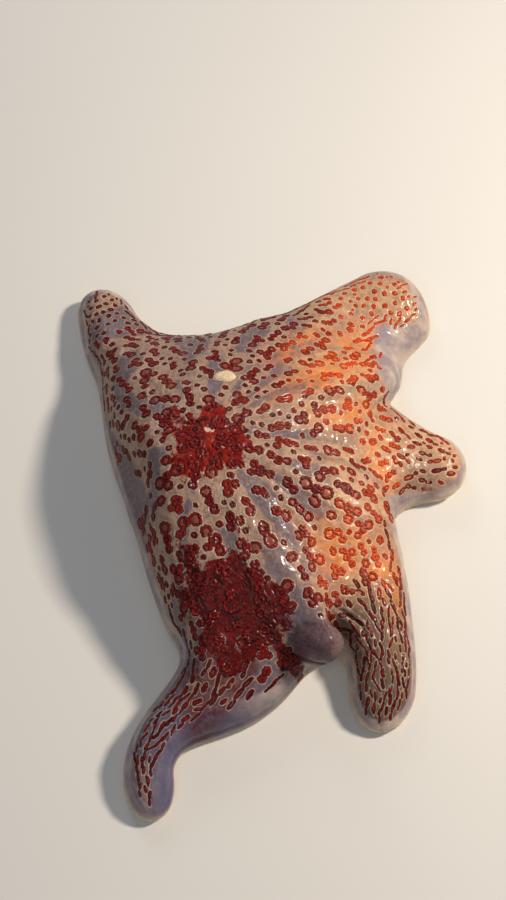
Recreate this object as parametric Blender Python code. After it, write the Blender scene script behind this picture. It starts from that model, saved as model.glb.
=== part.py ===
"""Leather star (Dermasterias imbricata), life size: a humped disc, five bent arms and the madreporite.

The body is laid out flat first, as a five-rayed star. A point of it is (rho, theta) in polar
coordinates round the mouth, or (s, d) along and beside one arm. Every arm then has a bent spine of
its own, and the flat body is carried along the five spines, blended from arm to arm.

All dimensions are millimetres and degrees; meshes are written in metres. The floor is z = 0.
"""
import bmesh
import bpy
import numpy as np

MM = 0.001

# ---------------------------------------------------------------- driving dimensions
REACH = 135.0          # centre to arm tip, laid out flat
SECTOR = 72.0          # angle between neighbouring arms, laid out flat
WEB_S = 61.0           # where two arms meet: distance along the arm ...
WEB_D = 44.3           # ... and beside its axis
TIP_CAP = 15.0         # length over which an arm's end is rounded off
DISC_THICK = 38.0      # thickness at the centre
TIP_THICK = 11.0       # thickness of an arm near its tip
THICK_POWER = 1.3      # how late the thickness falls off along an arm
RIM_HEIGHT = 5.0       # height of the margin above the underside
TOP_ROUND = 2.5        # superellipse power of the upper side
UNDER_ROUND = 4.0      # superellipse power of the underside
ARCH = 14.0            # the mouth's height above the floor
SINK = 0.4             # arms come down this far past the floor, where they are flattened
ARCH_FROM, ARCH_TO = (0.0, 40.0), (60.0, 100.0)   # stretches where an arm starts and stops falling
BASE_TO_ARM = (45.0, 90.0)                        # from the disc's own angles to the arm's width
BLEND = (0.15, 0.85)                              # share of a sector over which arms are blended
CUT = 68.0             # where the arms are parted from the disc
GAP = 0.4              # clearance at a parting
FLOOR_SOFT = 1.2       # the upper side stays this far above the floor
CENTRE = (24.2, -16.5)  # middle of the placed body's box, from the mouth

# Clockwise from the madreporite, seen from above. bends, lifts and rolls are (from, to, angle)
# along the arm: a bend turns it to the left, a lift raises it, a roll raises its left side.
# sides are (1 left or -1 right, distance along the arm, spread, how much wider that side is).
ARMS = {
    "arm_1": dict(flat=72.0, heading=59.0, length=1.11, tip=17.5, taper=1.8,
                  bends=[(20, 70, -8), (70, 120, -19)], lifts=[(100, 135, 25)], rolls=[(40, 100, 10)],
                  sides=[(1, 82, 22, -7.0), (-1, 118, 16, 2.5)]),
    "arm_2": dict(flat=0.0, heading=5.0, length=0.87, tip=12.5, taper=1.85,
                  bends=[(20, 70, 7), (70, 120, -21)], lifts=[(90, 135, 15)], rolls=[(40, 100, 3)],
                  sides=[]),
    "arm_3": dict(flat=-72.0, heading=-37.0, length=1.05, tip=11.0, taper=3.0,
                  bends=[(20, 70, -13), (70, 120, -40)], lifts=[], rolls=[(40, 100, -4)],
                  sides=[(1, 116, 18, 2.0)]),
    "arm_4": dict(flat=-144.0, heading=-88.0, length=1.17, tip=10.5, taper=2.6,
                  bends=[(62, 98, -46), (100, 130, 52)], lifts=[], rolls=[(40, 100, -10)],
                  sides=[(1, 100, 24, -6.5)]),
    "arm_5": dict(flat=144.0, heading=128.0, length=0.92, tip=12.0, taper=2.0,
                  bends=[(20, 70, -8), (70, 120, -12)], lifts=[(100, 135, 20)], rolls=[],
                  sides=[]),
}
# The webs between two arms, at the margin: how far each is drawn outward, to the left and up.
WEBS = {
    36.0: (27.0, -6.0, -4.0),
    -36.0: (6.0, 8.0, -1.0),
    -108.0: (11.0, 6.0, -2.0),
    180.0: (-32.0, 0.0, -12.0),
    108.0: (2.0, 0.0, -6.0),
}
# A bare fold that bulges from the web between the third and the fourth arm.
FOLD = dict(rho=73.0, theta=-104.5, radius=14.0, out=13.0, up=12.0)

MADREPORITE = dict(rho=27.0, theta=98.0, length=10.6, width=6.8, height=1.6, turn=-20.0)

# mesh density
ACROSS = 12            # columns across an arm
ROWS = 16              # rows along an arm, without its rounded tip
TIP_ROWS = 5
NOTCH_RAYS = 5         # rays between two arms
TOP_RINGS = 12
UNDER_RINGS = 8

COLOURS = {"disc": (0.20, 0.035, 0.03), "arm": (0.34, 0.10, 0.06), "madreporite": (0.72, 0.62, 0.50)}


# ---------------------------------------------------------------- the flat body
def smooth(start, end, x):
    t = np.clip((x - start) / (end - start), 0, 1)
    return t * t * (3 - 2 * t)


def turn(angle):
    """An angle in degrees brought into -180 .. 180."""
    return (angle + 180) % 360 - 180


def arm_weights(theta):
    """Share of each arm at an angle; the shares add up to one."""
    shares = np.array([1 - smooth(*BLEND, np.abs(turn(theta - arm["flat"])) / SECTOR)
                       for arm in ARMS.values()])
    return shares / shares.sum(0)


def half_width(s, arm, side=0):
    """Half width of an arm, laid out flat; side is 1 on its left and -1 on its right."""
    share = np.clip(1 - s / REACH, 0, 1.2) / (1 - WEB_S / REACH)
    width = arm["tip"] + (WEB_D - arm["tip"]) * share ** arm["taper"]
    for on_side, at, spread, wider in arm["sides"]:
        width = width + (side == on_side) * wider * np.exp(-((s - at) / spread) ** 2)
    return width


def margin(rho, theta):
    """0 on an arm's axis, 1 on the body's margin."""
    total = 0.0
    for share, arm in zip(arm_weights(theta), ARMS.values()):
        delta = np.radians(theta - arm["flat"])
        s, d = rho * np.cos(delta), rho * np.sin(delta)
        cap = np.clip((s - (REACH - TIP_CAP)) / TIP_CAP, 0, None)
        total = total + share * np.sqrt((d / half_width(s, arm, np.sign(d))) ** 2 + cap ** 2)
    return total


def thickness(rho, theta):
    total = 0.0
    for share, arm in zip(arm_weights(theta), ARMS.values()):
        s = np.clip(rho * np.cos(np.radians(theta - arm["flat"])), 0, REACH)
        total = total + share * (TIP_THICK + (DISC_THICK - TIP_THICK) * (1 - (s / REACH) ** THICK_POWER))
    return total


def heights(rho, theta):
    """Height of the upper side and of the underside above the flat body's own floor."""
    v = np.clip(margin(rho, theta), 0, 1)
    upper = RIM_HEIGHT + (thickness(rho, theta) - RIM_HEIGHT) * (1 - v ** TOP_ROUND) ** (1 / TOP_ROUND)
    under = RIM_HEIGHT * (1 - (1 - v ** UNDER_ROUND) ** (1 / UNDER_ROUND))
    return upper, under


# ---------------------------------------------------------------- the pose
STATIONS = np.linspace(-80.0, 180.0, 261)


def along(s, values):
    return np.stack([np.interp(s, STATIONS, values[:, k]) for k in range(3)], -1)


def total_angle(steps):
    """Sum of the (from, to, angle) steps at every station, in radians."""
    return sum((np.radians(angle) * smooth(a, b, STATIONS) for a, b, angle in steps),
               np.zeros_like(STATIONS))


def spine(arm):
    """An arm's axis on the underside, with its left and its up direction, at every station."""
    step = (STATIONS[1] - STATIONS[0]) * arm["length"]
    fall = smooth(*ARCH_FROM, STATIONS) - smooth(*ARCH_TO, STATIONS)
    low, high = 0.0, 1.5
    for _ in range(30):   # the slope that takes the axis from the arch down to the floor
        slope = (low + high) / 2
        low, high = (slope, high) if np.sum(np.sin(slope * fall)) * step < ARCH + SINK else (low, slope)
    pitch = total_angle(arm["lifts"]) - slope * fall
    heading = np.radians(arm["heading"]) + total_angle(arm["bends"])
    roll = total_angle(arm["rolls"])
    ahead = np.stack([np.cos(pitch) * np.cos(heading), np.cos(pitch) * np.sin(heading), np.sin(pitch)], 1)
    level = np.stack([-np.sin(heading), np.cos(heading), np.zeros_like(heading)], 1)
    upright = np.cross(ahead, level)
    left = level * np.cos(roll)[:, None] + upright * np.sin(roll)[:, None]
    up = upright * np.cos(roll)[:, None] - level * np.sin(roll)[:, None]
    axis = np.cumsum(ahead * step, 0)
    axis += np.array([0, 0, ARCH]) - along(0.0, axis)
    return axis, left, up


SPINES = {name: spine(arm) for name, arm in ARMS.items()}


def heading_gap(arm, side):
    """Angle between the placed headings of an arm and its neighbour on the left (1) or right (-1)."""
    neighbour = min(ARMS.values(), key=lambda other: abs(turn(other["flat"] - arm["flat"] - side * SECTOR)))
    return ((neighbour["heading"] - arm["heading"]) * side) % 360


def placed_local(rho, theta, arm):
    """Distances along and beside an arm's spine: fanned out in the disc, straight in the arm."""
    delta = turn(theta - arm["flat"])
    s, d = rho * np.cos(np.radians(delta)), rho * np.sin(np.radians(delta))
    left, right = heading_gap(arm, 1) / SECTOR, heading_gap(arm, -1) / SECTOR
    side = np.clip(delta / 30, -1, 1)
    fan = (left + right) / 2 + (left - right) / 2 * side * (1.5 - 0.5 * side * side)
    angle = np.radians(fan * delta)
    straight = smooth(*BASE_TO_ARM, s)
    return (rho * np.cos(angle) * (1 - straight) + s * straight,
            rho * np.sin(angle) * (1 - straight) + d * straight)


def web_direction(theta):
    arm = min(ARMS.values(), key=lambda other: abs(turn(other["flat"] + SECTOR / 2 - theta)))
    return np.radians(arm["heading"] + heading_gap(arm, 1) / 2)


def place(rho, theta, height):
    """Carry points of the flat body, at a height above its floor, to the pose."""
    rho, theta, height = np.broadcast_arrays(np.asarray(rho, float), theta, height)
    spot = np.zeros(rho.shape + (3,))
    for share, (name, arm) in zip(arm_weights(theta), ARMS.items()):
        s, d = placed_local(rho, theta, arm)
        axis, left, up = SPINES[name]
        point = along(s, axis) + d[..., None] * along(s, left) + height[..., None] * along(s, up)
        spot += share[..., None] * point
    for at, (out, aside, rise) in WEBS.items():
        share = (1 - smooth(0, SECTOR / 2, np.abs(turn(theta - at)))) * smooth(15, 75, rho)
        way = web_direction(at)
        move = np.array([out * np.cos(way) - aside * np.sin(way),
                         out * np.sin(way) + aside * np.cos(way), rise])
        spot += share[..., None] * move
    spot += fold_swell(rho, theta, height)
    spot[..., :2] -= CENTRE
    return spot


def fold_swell(rho, theta, height):
    flat = rho * np.exp(1j * np.radians(theta))
    middle = FOLD["rho"] * np.exp(1j * np.radians(FOLD["theta"]))
    share = np.exp(-(np.abs(flat - middle) / FOLD["radius"]) ** 2) * np.clip(height / RIM_HEIGHT, 0, 1)
    way = web_direction(-108.0)
    move = np.array([FOLD["out"] * np.cos(way), FOLD["out"] * np.sin(way), FOLD["up"]])
    return share[..., None] * move


def upper_side(rho, theta):
    spot = place(rho, theta, heights(rho, theta)[0])
    spot[..., 2] = (spot[..., 2] + np.hypot(spot[..., 2], 2 * FLOOR_SOFT)) / 2
    return spot


def underside(rho, theta):
    spot = place(rho, theta, heights(rho, theta)[1])
    spot[..., 2] = np.maximum(spot[..., 2], 0)
    return spot


# ---------------------------------------------------------------- meshes
def first_crossing(values, table):
    """Where each row of margin values first reaches one."""
    rising = np.maximum.accumulate(values, axis=1) + 1e-9 * table
    return np.array([np.interp(1.0, row, table) for row in rising])


def arm_edge(s, arm, side):
    """Distance from an arm's axis to its margin, at each s."""
    table = np.linspace(0, 60, 241)
    s = np.asarray(s, float)[:, None]
    d = side * table[None, :]
    theta = arm["flat"] + np.degrees(np.arctan2(d, s))
    return first_crossing(margin(np.hypot(s, d), theta), table)


def rim_distance(theta):
    table = np.linspace(0, REACH, 400)
    return first_crossing(margin(table[None, :], np.asarray(theta, float)[:, None]), table)


def columns():
    """Shares of the half width across an arm, closer together near the margins."""
    return np.sin(np.linspace(-np.pi / 2, np.pi / 2, ACROSS + 1))


def arm_points(s, arm):
    """Polar coordinates of the columns of an arm on the rows s."""
    left, right = arm_edge(s, arm, 1), arm_edge(s, arm, -1)
    share = columns()[None, :]
    d = np.where(share > 0, share * left[:, None], share * right[:, None])
    s = np.asarray(s, float)[:, None] + 0 * d
    return np.hypot(s, d), arm["flat"] + np.degrees(np.arctan2(d, s))


def make_object(name, verts, faces, colour, roughness=0.35):
    """An object of its own with closed, outward-facing, smooth-shaded faces."""
    mesh = bpy.data.meshes.new(name)
    mesh.from_pydata([tuple(float(c) * MM for c in v) for v in verts], [], faces)
    work = bmesh.new()
    work.from_mesh(mesh)
    bmesh.ops.recalc_face_normals(work, faces=work.faces)
    work.to_mesh(mesh)
    work.free()
    mesh.shade_smooth()
    mesh.set_sharp_from_angle(angle=np.radians(50))
    material = bpy.data.materials.new(name + "_skin")
    material.use_nodes = True
    shader = material.node_tree.nodes["Principled BSDF"]
    shader.inputs["Base Color"].default_value = (*colour, 1)
    shader.inputs["Roughness"].default_value = roughness
    shader.inputs["Metallic"].default_value = 0.0
    material.diffuse_color = (*colour, 1)
    mesh.materials.append(material)
    made = bpy.data.objects.new(name, mesh)
    bpy.context.scene.collection.objects.link(made)
    return made


def clean(face):
    """A face without repeated corners."""
    kept = [v for k, v in enumerate(face) if v != face[k - 1]]
    return kept if len(kept) > 2 else None


def skin_between(rows):
    """Quads between neighbouring rows of vertex numbers."""
    made = []
    for near, far in zip(rows, rows[1:]):
        for k in range(len(near) - 1):
            made.append(clean([near[k], near[k + 1], far[k + 1], far[k]]))
    return [face for face in made if face]


def make_arm(name):
    arm = ARMS[name]
    body = np.linspace(CUT + GAP, REACH - TIP_CAP, ROWS + 1)[:-1]
    end = REACH - TIP_CAP * (1 - np.sin(np.linspace(0, np.pi / 2, TIP_ROWS + 1)))
    rho, theta = arm_points(np.concatenate([body, end[:-1]]), arm)
    upper, under = upper_side(rho, theta), underside(rho, theta)
    verts, top_rows, under_rows = [], [], []
    for top_row, under_row in zip(upper, under):
        first = len(verts)
        verts.extend(top_row)
        top = list(range(first, first + ACROSS + 1))
        below = len(verts)
        verts.extend(under_row[1:-1])
        top_rows.append(top)
        under_rows.append([top[0], *range(below, below + ACROSS - 1), top[-1]])
    tip = len(verts)
    verts.append(upper_side(REACH, arm["flat"]))
    faces = skin_between(top_rows) + skin_between(under_rows)
    faces += skin_between([top_rows[0], under_rows[0]])
    faces += skin_between([top_rows[-1], [tip] * (ACROSS + 1)])
    faces += skin_between([under_rows[-1], [tip] * (ACROSS + 1)])
    return make_object(name, verts, faces, COLOURS["arm"])


def disc_rays():
    """Ends of the disc's rays, once round: on the partings of the arms and on the webs' margins."""
    ends = []
    order = sorted(ARMS.values(), key=lambda arm: arm["flat"])
    for arm, following in zip(order, order[1:] + order[:1]):
        rho, theta = arm_points([CUT], arm)
        ends += list(zip(rho[0], theta[0], [True] + [False] * (ACROSS - 1) + [True]))
        start = theta[0][-1]
        stop = start + turn(arm_points([CUT], following)[1][0][0] - start)
        web = np.linspace(start, stop, NOTCH_RAYS + 2)[1:-1]
        ends += list(zip(rim_distance(web), web, [True] * NOTCH_RAYS))
    return ends


def make_disc():
    ends = disc_rays()
    length, theta, on_rim = (np.array(column) for column in zip(*ends))
    verts = [upper_side(0.0, 0.0), underside(0.0, 0.0)]

    def rings(count, side):
        share = np.linspace(0, 1, count + 1)[1:]
        share = 0.4 * share + 0.6 * np.sin(share * np.pi / 2)
        return side(length[:, None] * share[None, :], np.repeat(theta[:, None], count, 1))

    def number(points):
        first = len(verts)
        verts.extend(points)
        return list(range(first, first + len(points)))

    upper, under = rings(TOP_RINGS, upper_side), rings(UNDER_RINGS, underside)
    top_rows = [number(upper[:, k]) for k in range(TOP_RINGS)]
    under_rows = [number(under[:, k]) for k in range(UNDER_RINGS - 1)]
    edge = number(under[:, -1])
    under_rows.append([top_rows[-1][k] if on_rim[k] else edge[k] for k in range(len(ends))])

    def closed(row):
        return row + row[:1]

    faces = skin_between([closed(row) for row in top_rows])
    faces += skin_between([closed(row) for row in under_rows])
    faces += skin_between([closed(top_rows[-1]), closed(under_rows[-1])])
    faces += skin_between([[0] * (len(ends) + 1), closed(top_rows[0])])
    faces += skin_between([[1] * (len(ends) + 1), closed(under_rows[0])])
    used = sorted({v for face in faces for v in face})
    renumber = {old: new for new, old in enumerate(used)}
    faces = [[renumber[v] for v in face] for face in faces]
    return make_object("disc", [verts[v] for v in used], faces, COLOURS["disc"])


def surface_frame(rho, theta):
    """A point of the upper side, with the outward, sideways and normal directions there."""
    step = 1.0
    spot = upper_side(rho, theta)
    out = upper_side(rho + step, theta) - upper_side(rho - step, theta)
    aside = upper_side(rho, theta + step) - upper_side(rho, theta - step)
    normal = np.cross(out, aside)
    normal /= np.linalg.norm(normal)
    out -= normal * (out @ normal)
    out /= np.linalg.norm(out)
    return spot, out, np.cross(normal, out), normal


def make_madreporite():
    """A low oval cushion that lies on the disc, its flat underside just clear of the skin."""
    size = MADREPORITE
    spot, out, aside, normal = surface_frame(size["rho"], size["theta"])
    angle = np.radians(size["turn"])
    long_way = aside * np.cos(angle) + out * np.sin(angle)
    short_way = out * np.cos(angle) - aside * np.sin(angle)
    sides, rings = 24, 4
    base = spot + normal * (GAP + 0.1)
    verts, rows = [], []
    for ring in range(rings):
        rise = np.sin(np.pi / 2 * ring / rings)
        shrink = np.cos(np.pi / 2 * ring / rings)
        first = len(verts)
        for k in range(sides):
            a = 2 * np.pi * k / sides
            verts.append(base + shrink * (long_way * size["length"] / 2 * np.cos(a)
                                          + short_way * size["width"] / 2 * np.sin(a))
                         + normal * size["height"] * rise)
        rows.append([*range(first, first + sides), first])
    top = len(verts)
    verts.append(base + normal * size["height"])
    verts.append(base)
    faces = skin_between(rows + [[top] * (sides + 1)]) + skin_between([[top + 1] * (sides + 1), rows[0]])
    return make_object("madreporite", verts, faces, COLOURS["madreporite"], 0.55)


def main():
    for old in list(bpy.data.objects):
        bpy.data.objects.remove(old, do_unlink=True)
    make_disc()
    for name in ARMS:
        make_arm(name)
    make_madreporite()


main()
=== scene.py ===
"""Leather star (Dermasterias imbricata): the looks of the life-size model.

One wet, spotted skin goes over the disc and the five arms. On it lie the sieve plate, and under it
the tube feet and the small spines beside their grooves. The body's form is worked out here as in the
CAD source: laid out flat as a five-rayed star, (rho, theta) round the mouth or (s, d) along and
beside an arm, and then carried along five bent spines.

Dimensions are millimetres and degrees; meshes are written in metres. The floor is z = 0.
"""

import bpy
import numpy as np
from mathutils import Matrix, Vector, kdtree


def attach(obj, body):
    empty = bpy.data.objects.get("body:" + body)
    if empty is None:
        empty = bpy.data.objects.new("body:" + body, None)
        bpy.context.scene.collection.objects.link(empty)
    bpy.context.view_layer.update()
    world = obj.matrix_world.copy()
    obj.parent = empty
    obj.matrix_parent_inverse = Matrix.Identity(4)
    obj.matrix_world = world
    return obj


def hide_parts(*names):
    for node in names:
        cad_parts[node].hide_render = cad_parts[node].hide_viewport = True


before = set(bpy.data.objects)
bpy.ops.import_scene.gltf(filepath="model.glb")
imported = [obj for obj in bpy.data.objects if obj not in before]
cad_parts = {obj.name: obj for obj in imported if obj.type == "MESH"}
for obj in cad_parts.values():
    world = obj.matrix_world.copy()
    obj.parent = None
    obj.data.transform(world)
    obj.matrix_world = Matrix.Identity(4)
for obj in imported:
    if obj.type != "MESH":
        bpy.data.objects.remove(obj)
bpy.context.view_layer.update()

MM = 0.001

# ================================================================ the body's form, as in the CAD
REACH = 135.0          # centre to arm tip, laid out flat
SECTOR = 72.0          # angle between neighbouring arms, laid out flat
WEB_S = 61.0           # where two arms meet: distance along the arm ...
WEB_D = 44.3           # ... and beside its axis
TIP_CAP = 15.0         # length over which an arm's end is rounded off
DISC_THICK = 38.0      # thickness at the centre
TIP_THICK = 11.0       # thickness of an arm near its tip
THICK_POWER = 1.3      # how late the thickness falls off along an arm
RIM_HEIGHT = 5.0       # height of the margin above the underside
TOP_ROUND = 2.5        # superellipse power of the upper side
UNDER_ROUND = 4.0      # superellipse power of the underside
ARCH = 14.0            # the mouth's height above the floor
SINK = 0.4             # arms come down this far past the floor, where they are flattened
ARCH_FROM, ARCH_TO = (0.0, 40.0), (60.0, 100.0)   # stretches where an arm starts and stops falling
BASE_TO_ARM = (45.0, 90.0)                        # from the disc's own angles to the arm's width
BLEND = (0.15, 0.85)                              # share of a sector over which arms are blended
CUT = 68.0             # from here on an arm has columns of its own
FLOOR_SOFT = 1.2       # the upper side stays this far above the floor
CENTRE = (24.2, -16.5)  # middle of the placed body's box, from the mouth
FOLD_WEB = -108.0      # the web with the bare fold, between the third and the fourth arm

# Clockwise from the madreporite, seen from above. bends, lifts and rolls are (from, to, angle)
# along the arm: a bend turns it to the left, a lift raises it, a roll raises its left side.
# sides are (1 left or -1 right, distance along the arm, spread, how much wider that side is).
ARMS = {
    "arm_1": dict(flat=72.0, heading=59.0, length=1.11, tip=17.5, taper=1.8,
                  bends=[(20, 70, -8), (70, 120, -19)], lifts=[(100, 135, 25)], rolls=[(40, 100, 10)],
                  sides=[(1, 82, 22, -7.0), (-1, 118, 16, 2.5)]),
    "arm_2": dict(flat=0.0, heading=5.0, length=0.87, tip=12.5, taper=1.85,
                  bends=[(20, 70, 7), (70, 120, -21)], lifts=[(90, 135, 15)], rolls=[(40, 100, 3)],
                  sides=[]),
    "arm_3": dict(flat=-72.0, heading=-37.0, length=1.05, tip=11.0, taper=3.0,
                  bends=[(20, 70, -13), (70, 120, -40)], lifts=[], rolls=[(40, 100, -4)],
                  sides=[(1, 116, 18, 2.0)]),
    "arm_4": dict(flat=-144.0, heading=-88.0, length=1.17, tip=10.5, taper=2.6,
                  bends=[(62, 98, -46), (100, 130, 52)], lifts=[], rolls=[(40, 100, -10)],
                  sides=[(1, 100, 24, -6.5)]),
    "arm_5": dict(flat=144.0, heading=128.0, length=0.92, tip=12.0, taper=2.0,
                  bends=[(20, 70, -8), (70, 120, -12)], lifts=[(100, 135, 20)], rolls=[],
                  sides=[]),
}
FLATS = np.array([arm["flat"] for arm in ARMS.values()])
FIRST, SECOND, THIRD, FOURTH = range(4)     # places of those arms among all of them
# The webs between two arms, at the margin: how far each is drawn outward, to the left and up.
WEBS = {
    36.0: (27.0, -6.0, -4.0),
    -36.0: (6.0, 8.0, -1.0),
    FOLD_WEB: (11.0, 6.0, -2.0),
    180.0: (-32.0, 0.0, -12.0),
    108.0: (2.0, 0.0, -6.0),
}
FOLD = dict(rho=73.0, theta=-104.5, radius=14.0, out=13.0, up=12.0)
MADREPORITE = dict(rho=27.0, theta=98.0, length=10.6, width=6.8, height=1.6, turn=-20.0)


def smooth(start, end, x):
    """0 up to start, 1 from end on, and a smooth step between them."""
    t = np.clip((x - start) / (end - start), 0, 1)
    return t * t * (3 - 2 * t)


def turn(angle):
    """An angle in degrees brought into -180 .. 180."""
    return (angle + 180) % 360 - 180


def in_plane(rho, theta):
    """A polar place on the flat body as a complex number."""
    return rho * np.exp(1j * np.radians(theta))


def arm_weights(theta):
    """Share of each arm at an angle; the shares add up to one."""
    shares = np.array([1 - smooth(*BLEND, np.abs(turn(theta - arm["flat"])) / SECTOR)
                       for arm in ARMS.values()])
    return shares / shares.sum(0)


def half_width(s, arm, side=0):
    """Half width of an arm, on one side of it where the sides differ."""
    share = np.clip(1 - s / REACH, 0, 1.2) / (1 - WEB_S / REACH)
    width = arm["tip"] + (WEB_D - arm["tip"]) * share ** arm["taper"]
    for on_side, at, spread, wider in arm["sides"]:
        width = width + (side == on_side) * wider * np.exp(-((s - at) / spread) ** 2)
    return width


def margin(rho, theta):
    """0 on an arm's axis, 1 on the body's margin."""
    total = 0.0
    for share, arm in zip(arm_weights(theta), ARMS.values()):
        delta = np.radians(theta - arm["flat"])
        s, d = rho * np.cos(delta), rho * np.sin(delta)
        cap = np.clip((s - (REACH - TIP_CAP)) / TIP_CAP, 0, None)
        total = total + share * np.sqrt((d / half_width(s, arm, np.sign(d))) ** 2 + cap ** 2)
    return total


def thickness(rho, theta):
    """Thickness of the body above the flat floor, not counting its rounded margin."""
    total = 0.0
    for share, arm in zip(arm_weights(theta), ARMS.values()):
        s = np.clip(rho * np.cos(np.radians(theta - arm["flat"])), 0, REACH)
        total = total + share * (TIP_THICK + (DISC_THICK - TIP_THICK) * (1 - (s / REACH) ** THICK_POWER))
    return total


def heights(rho, theta):
    """Height of the upper side and of the underside above the flat body's own floor."""
    v = np.clip(margin(rho, theta), 0, 1)
    upper = RIM_HEIGHT + (thickness(rho, theta) - RIM_HEIGHT) * (1 - v ** TOP_ROUND) ** (1 / TOP_ROUND)
    under = RIM_HEIGHT * (1 - (1 - v ** UNDER_ROUND) ** (1 / UNDER_ROUND))
    return upper, under


STATIONS = np.linspace(-80.0, 180.0, 261)


def along(s, values):
    """Vectors that are given at the stations, at the distances s."""
    return np.stack([np.interp(s, STATIONS, values[:, k]) for k in range(3)], -1)


def total_angle(steps):
    """Sum of the (from, to, angle) steps at every station, in radians."""
    return sum((np.radians(angle) * smooth(a, b, STATIONS) for a, b, angle in steps),
               np.zeros_like(STATIONS))


def spine(arm):
    """An arm's axis on the underside, with its left and its up direction, at every station."""
    step = (STATIONS[1] - STATIONS[0]) * arm["length"]
    fall = smooth(*ARCH_FROM, STATIONS) - smooth(*ARCH_TO, STATIONS)
    low, high = 0.0, 1.5
    for _ in range(30):   # the slope that takes the axis from the arch down to the floor
        slope = (low + high) / 2
        low, high = (slope, high) if np.sum(np.sin(slope * fall)) * step < ARCH + SINK else (low, slope)
    pitch = total_angle(arm["lifts"]) - slope * fall
    heading = np.radians(arm["heading"]) + total_angle(arm["bends"])
    roll = total_angle(arm["rolls"])
    ahead = np.stack([np.cos(pitch) * np.cos(heading), np.cos(pitch) * np.sin(heading), np.sin(pitch)], 1)
    level = np.stack([-np.sin(heading), np.cos(heading), np.zeros_like(heading)], 1)
    upright = np.cross(ahead, level)
    left = level * np.cos(roll)[:, None] + upright * np.sin(roll)[:, None]
    up = upright * np.cos(roll)[:, None] - level * np.sin(roll)[:, None]
    axis = np.cumsum(ahead * step, 0)
    axis += np.array([0, 0, ARCH]) - along(0.0, axis)
    return axis, left, up


SPINES = {name: spine(arm) for name, arm in ARMS.items()}


def heading_gap(arm, side):
    """Angle between the placed headings of an arm and its neighbour on the left (1) or right (-1)."""
    neighbour = min(ARMS.values(), key=lambda other: abs(turn(other["flat"] - arm["flat"] - side * SECTOR)))
    return ((neighbour["heading"] - arm["heading"]) * side) % 360


def placed_local(rho, theta, arm):
    """Distances along and beside an arm's spine: fanned out in the disc, straight in the arm."""
    delta = turn(theta - arm["flat"])
    s, d = rho * np.cos(np.radians(delta)), rho * np.sin(np.radians(delta))
    left, right = heading_gap(arm, 1) / SECTOR, heading_gap(arm, -1) / SECTOR
    side = np.clip(delta / 30, -1, 1)
    fan = (left + right) / 2 + (left - right) / 2 * side * (1.5 - 0.5 * side * side)
    angle = np.radians(fan * delta)
    straight = smooth(*BASE_TO_ARM, s)
    return (rho * np.cos(angle) * (1 - straight) + s * straight,
            rho * np.sin(angle) * (1 - straight) + d * straight)


def web_direction(theta):
    """Direction in the pose, in radians, in which the web at that flat angle points out."""
    arm = min(ARMS.values(), key=lambda other: abs(turn(other["flat"] + SECTOR / 2 - theta)))
    return np.radians(arm["heading"] + heading_gap(arm, 1) / 2)


def fold_swell(rho, theta, height):
    """How far the bare fold bulges out and up."""
    away = np.abs(in_plane(rho, theta) - in_plane(FOLD["rho"], FOLD["theta"]))
    share = np.exp(-(away / FOLD["radius"]) ** 2) * np.clip(height / RIM_HEIGHT, 0, 1)
    way = web_direction(FOLD_WEB)
    return share[..., None] * np.array([FOLD["out"] * np.cos(way), FOLD["out"] * np.sin(way), FOLD["up"]])


def place(rho, theta, height):
    """Carry points of the flat body, at a height above its floor, to the pose."""
    rho, theta, height = np.broadcast_arrays(np.asarray(rho, float), theta, height)
    spot = np.zeros(rho.shape + (3,))
    for share, (name, arm) in zip(arm_weights(theta), ARMS.items()):
        s, d = placed_local(rho, theta, arm)
        axis, left, up = SPINES[name]
        point = along(s, axis) + d[..., None] * along(s, left) + height[..., None] * along(s, up)
        spot += share[..., None] * point
    for at, (out, aside, rise) in WEBS.items():
        share = (1 - smooth(0, SECTOR / 2, np.abs(turn(theta - at)))) * smooth(15, 75, rho)
        way = web_direction(at)
        move = np.array([out * np.cos(way) - aside * np.sin(way),
                         out * np.sin(way) + aside * np.cos(way), rise])
        spot += share[..., None] * move
    spot += fold_swell(rho, theta, height)
    spot[..., :2] -= CENTRE
    return spot


def upper_side(rho, theta):
    """Points of the smooth upper side in the pose."""
    spot = place(rho, theta, heights(rho, theta)[0])
    spot[..., 2] = (spot[..., 2] + np.hypot(spot[..., 2], 2 * FLOOR_SOFT)) / 2
    return spot


def underside(rho, theta):
    """Points of the smooth underside in the pose, flat where it lies on the floor."""
    spot = place(rho, theta, heights(rho, theta)[1])
    spot[..., 2] = np.maximum(spot[..., 2], 0)
    return spot


def first_crossing(values, table):
    """Where each row of margin values first reaches one."""
    rising = np.maximum.accumulate(values, axis=1) + 1e-9 * table
    return np.array([np.interp(1.0, row, table) for row in rising])


def arm_edge(s, arm, side):
    """Distance from an arm's axis to its margin, at each s."""
    table = np.linspace(0, 60, 241)
    s = np.asarray(s, float)[:, None]
    d = side * table[None, :]
    theta = arm["flat"] + np.degrees(np.arctan2(d, s))
    return first_crossing(margin(np.hypot(s, d), theta), table)


def rim_distance(theta):
    """Distance from the centre to the margin, at each angle."""
    table = np.linspace(0, REACH, 400)
    return first_crossing(margin(table[None, :], np.asarray(theta, float)[:, None]), table)


def nearest_arm(rho, theta):
    """Number of the nearest arm, and the distances along and beside its flat axis."""
    delta = turn(np.asarray(theta, float)[..., None] - FLATS)
    number = np.abs(delta).argmin(-1)
    angle = np.radians(np.take_along_axis(delta, number[..., None], -1)[..., 0])
    return number, rho * np.cos(angle), rho * np.sin(angle)


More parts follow.
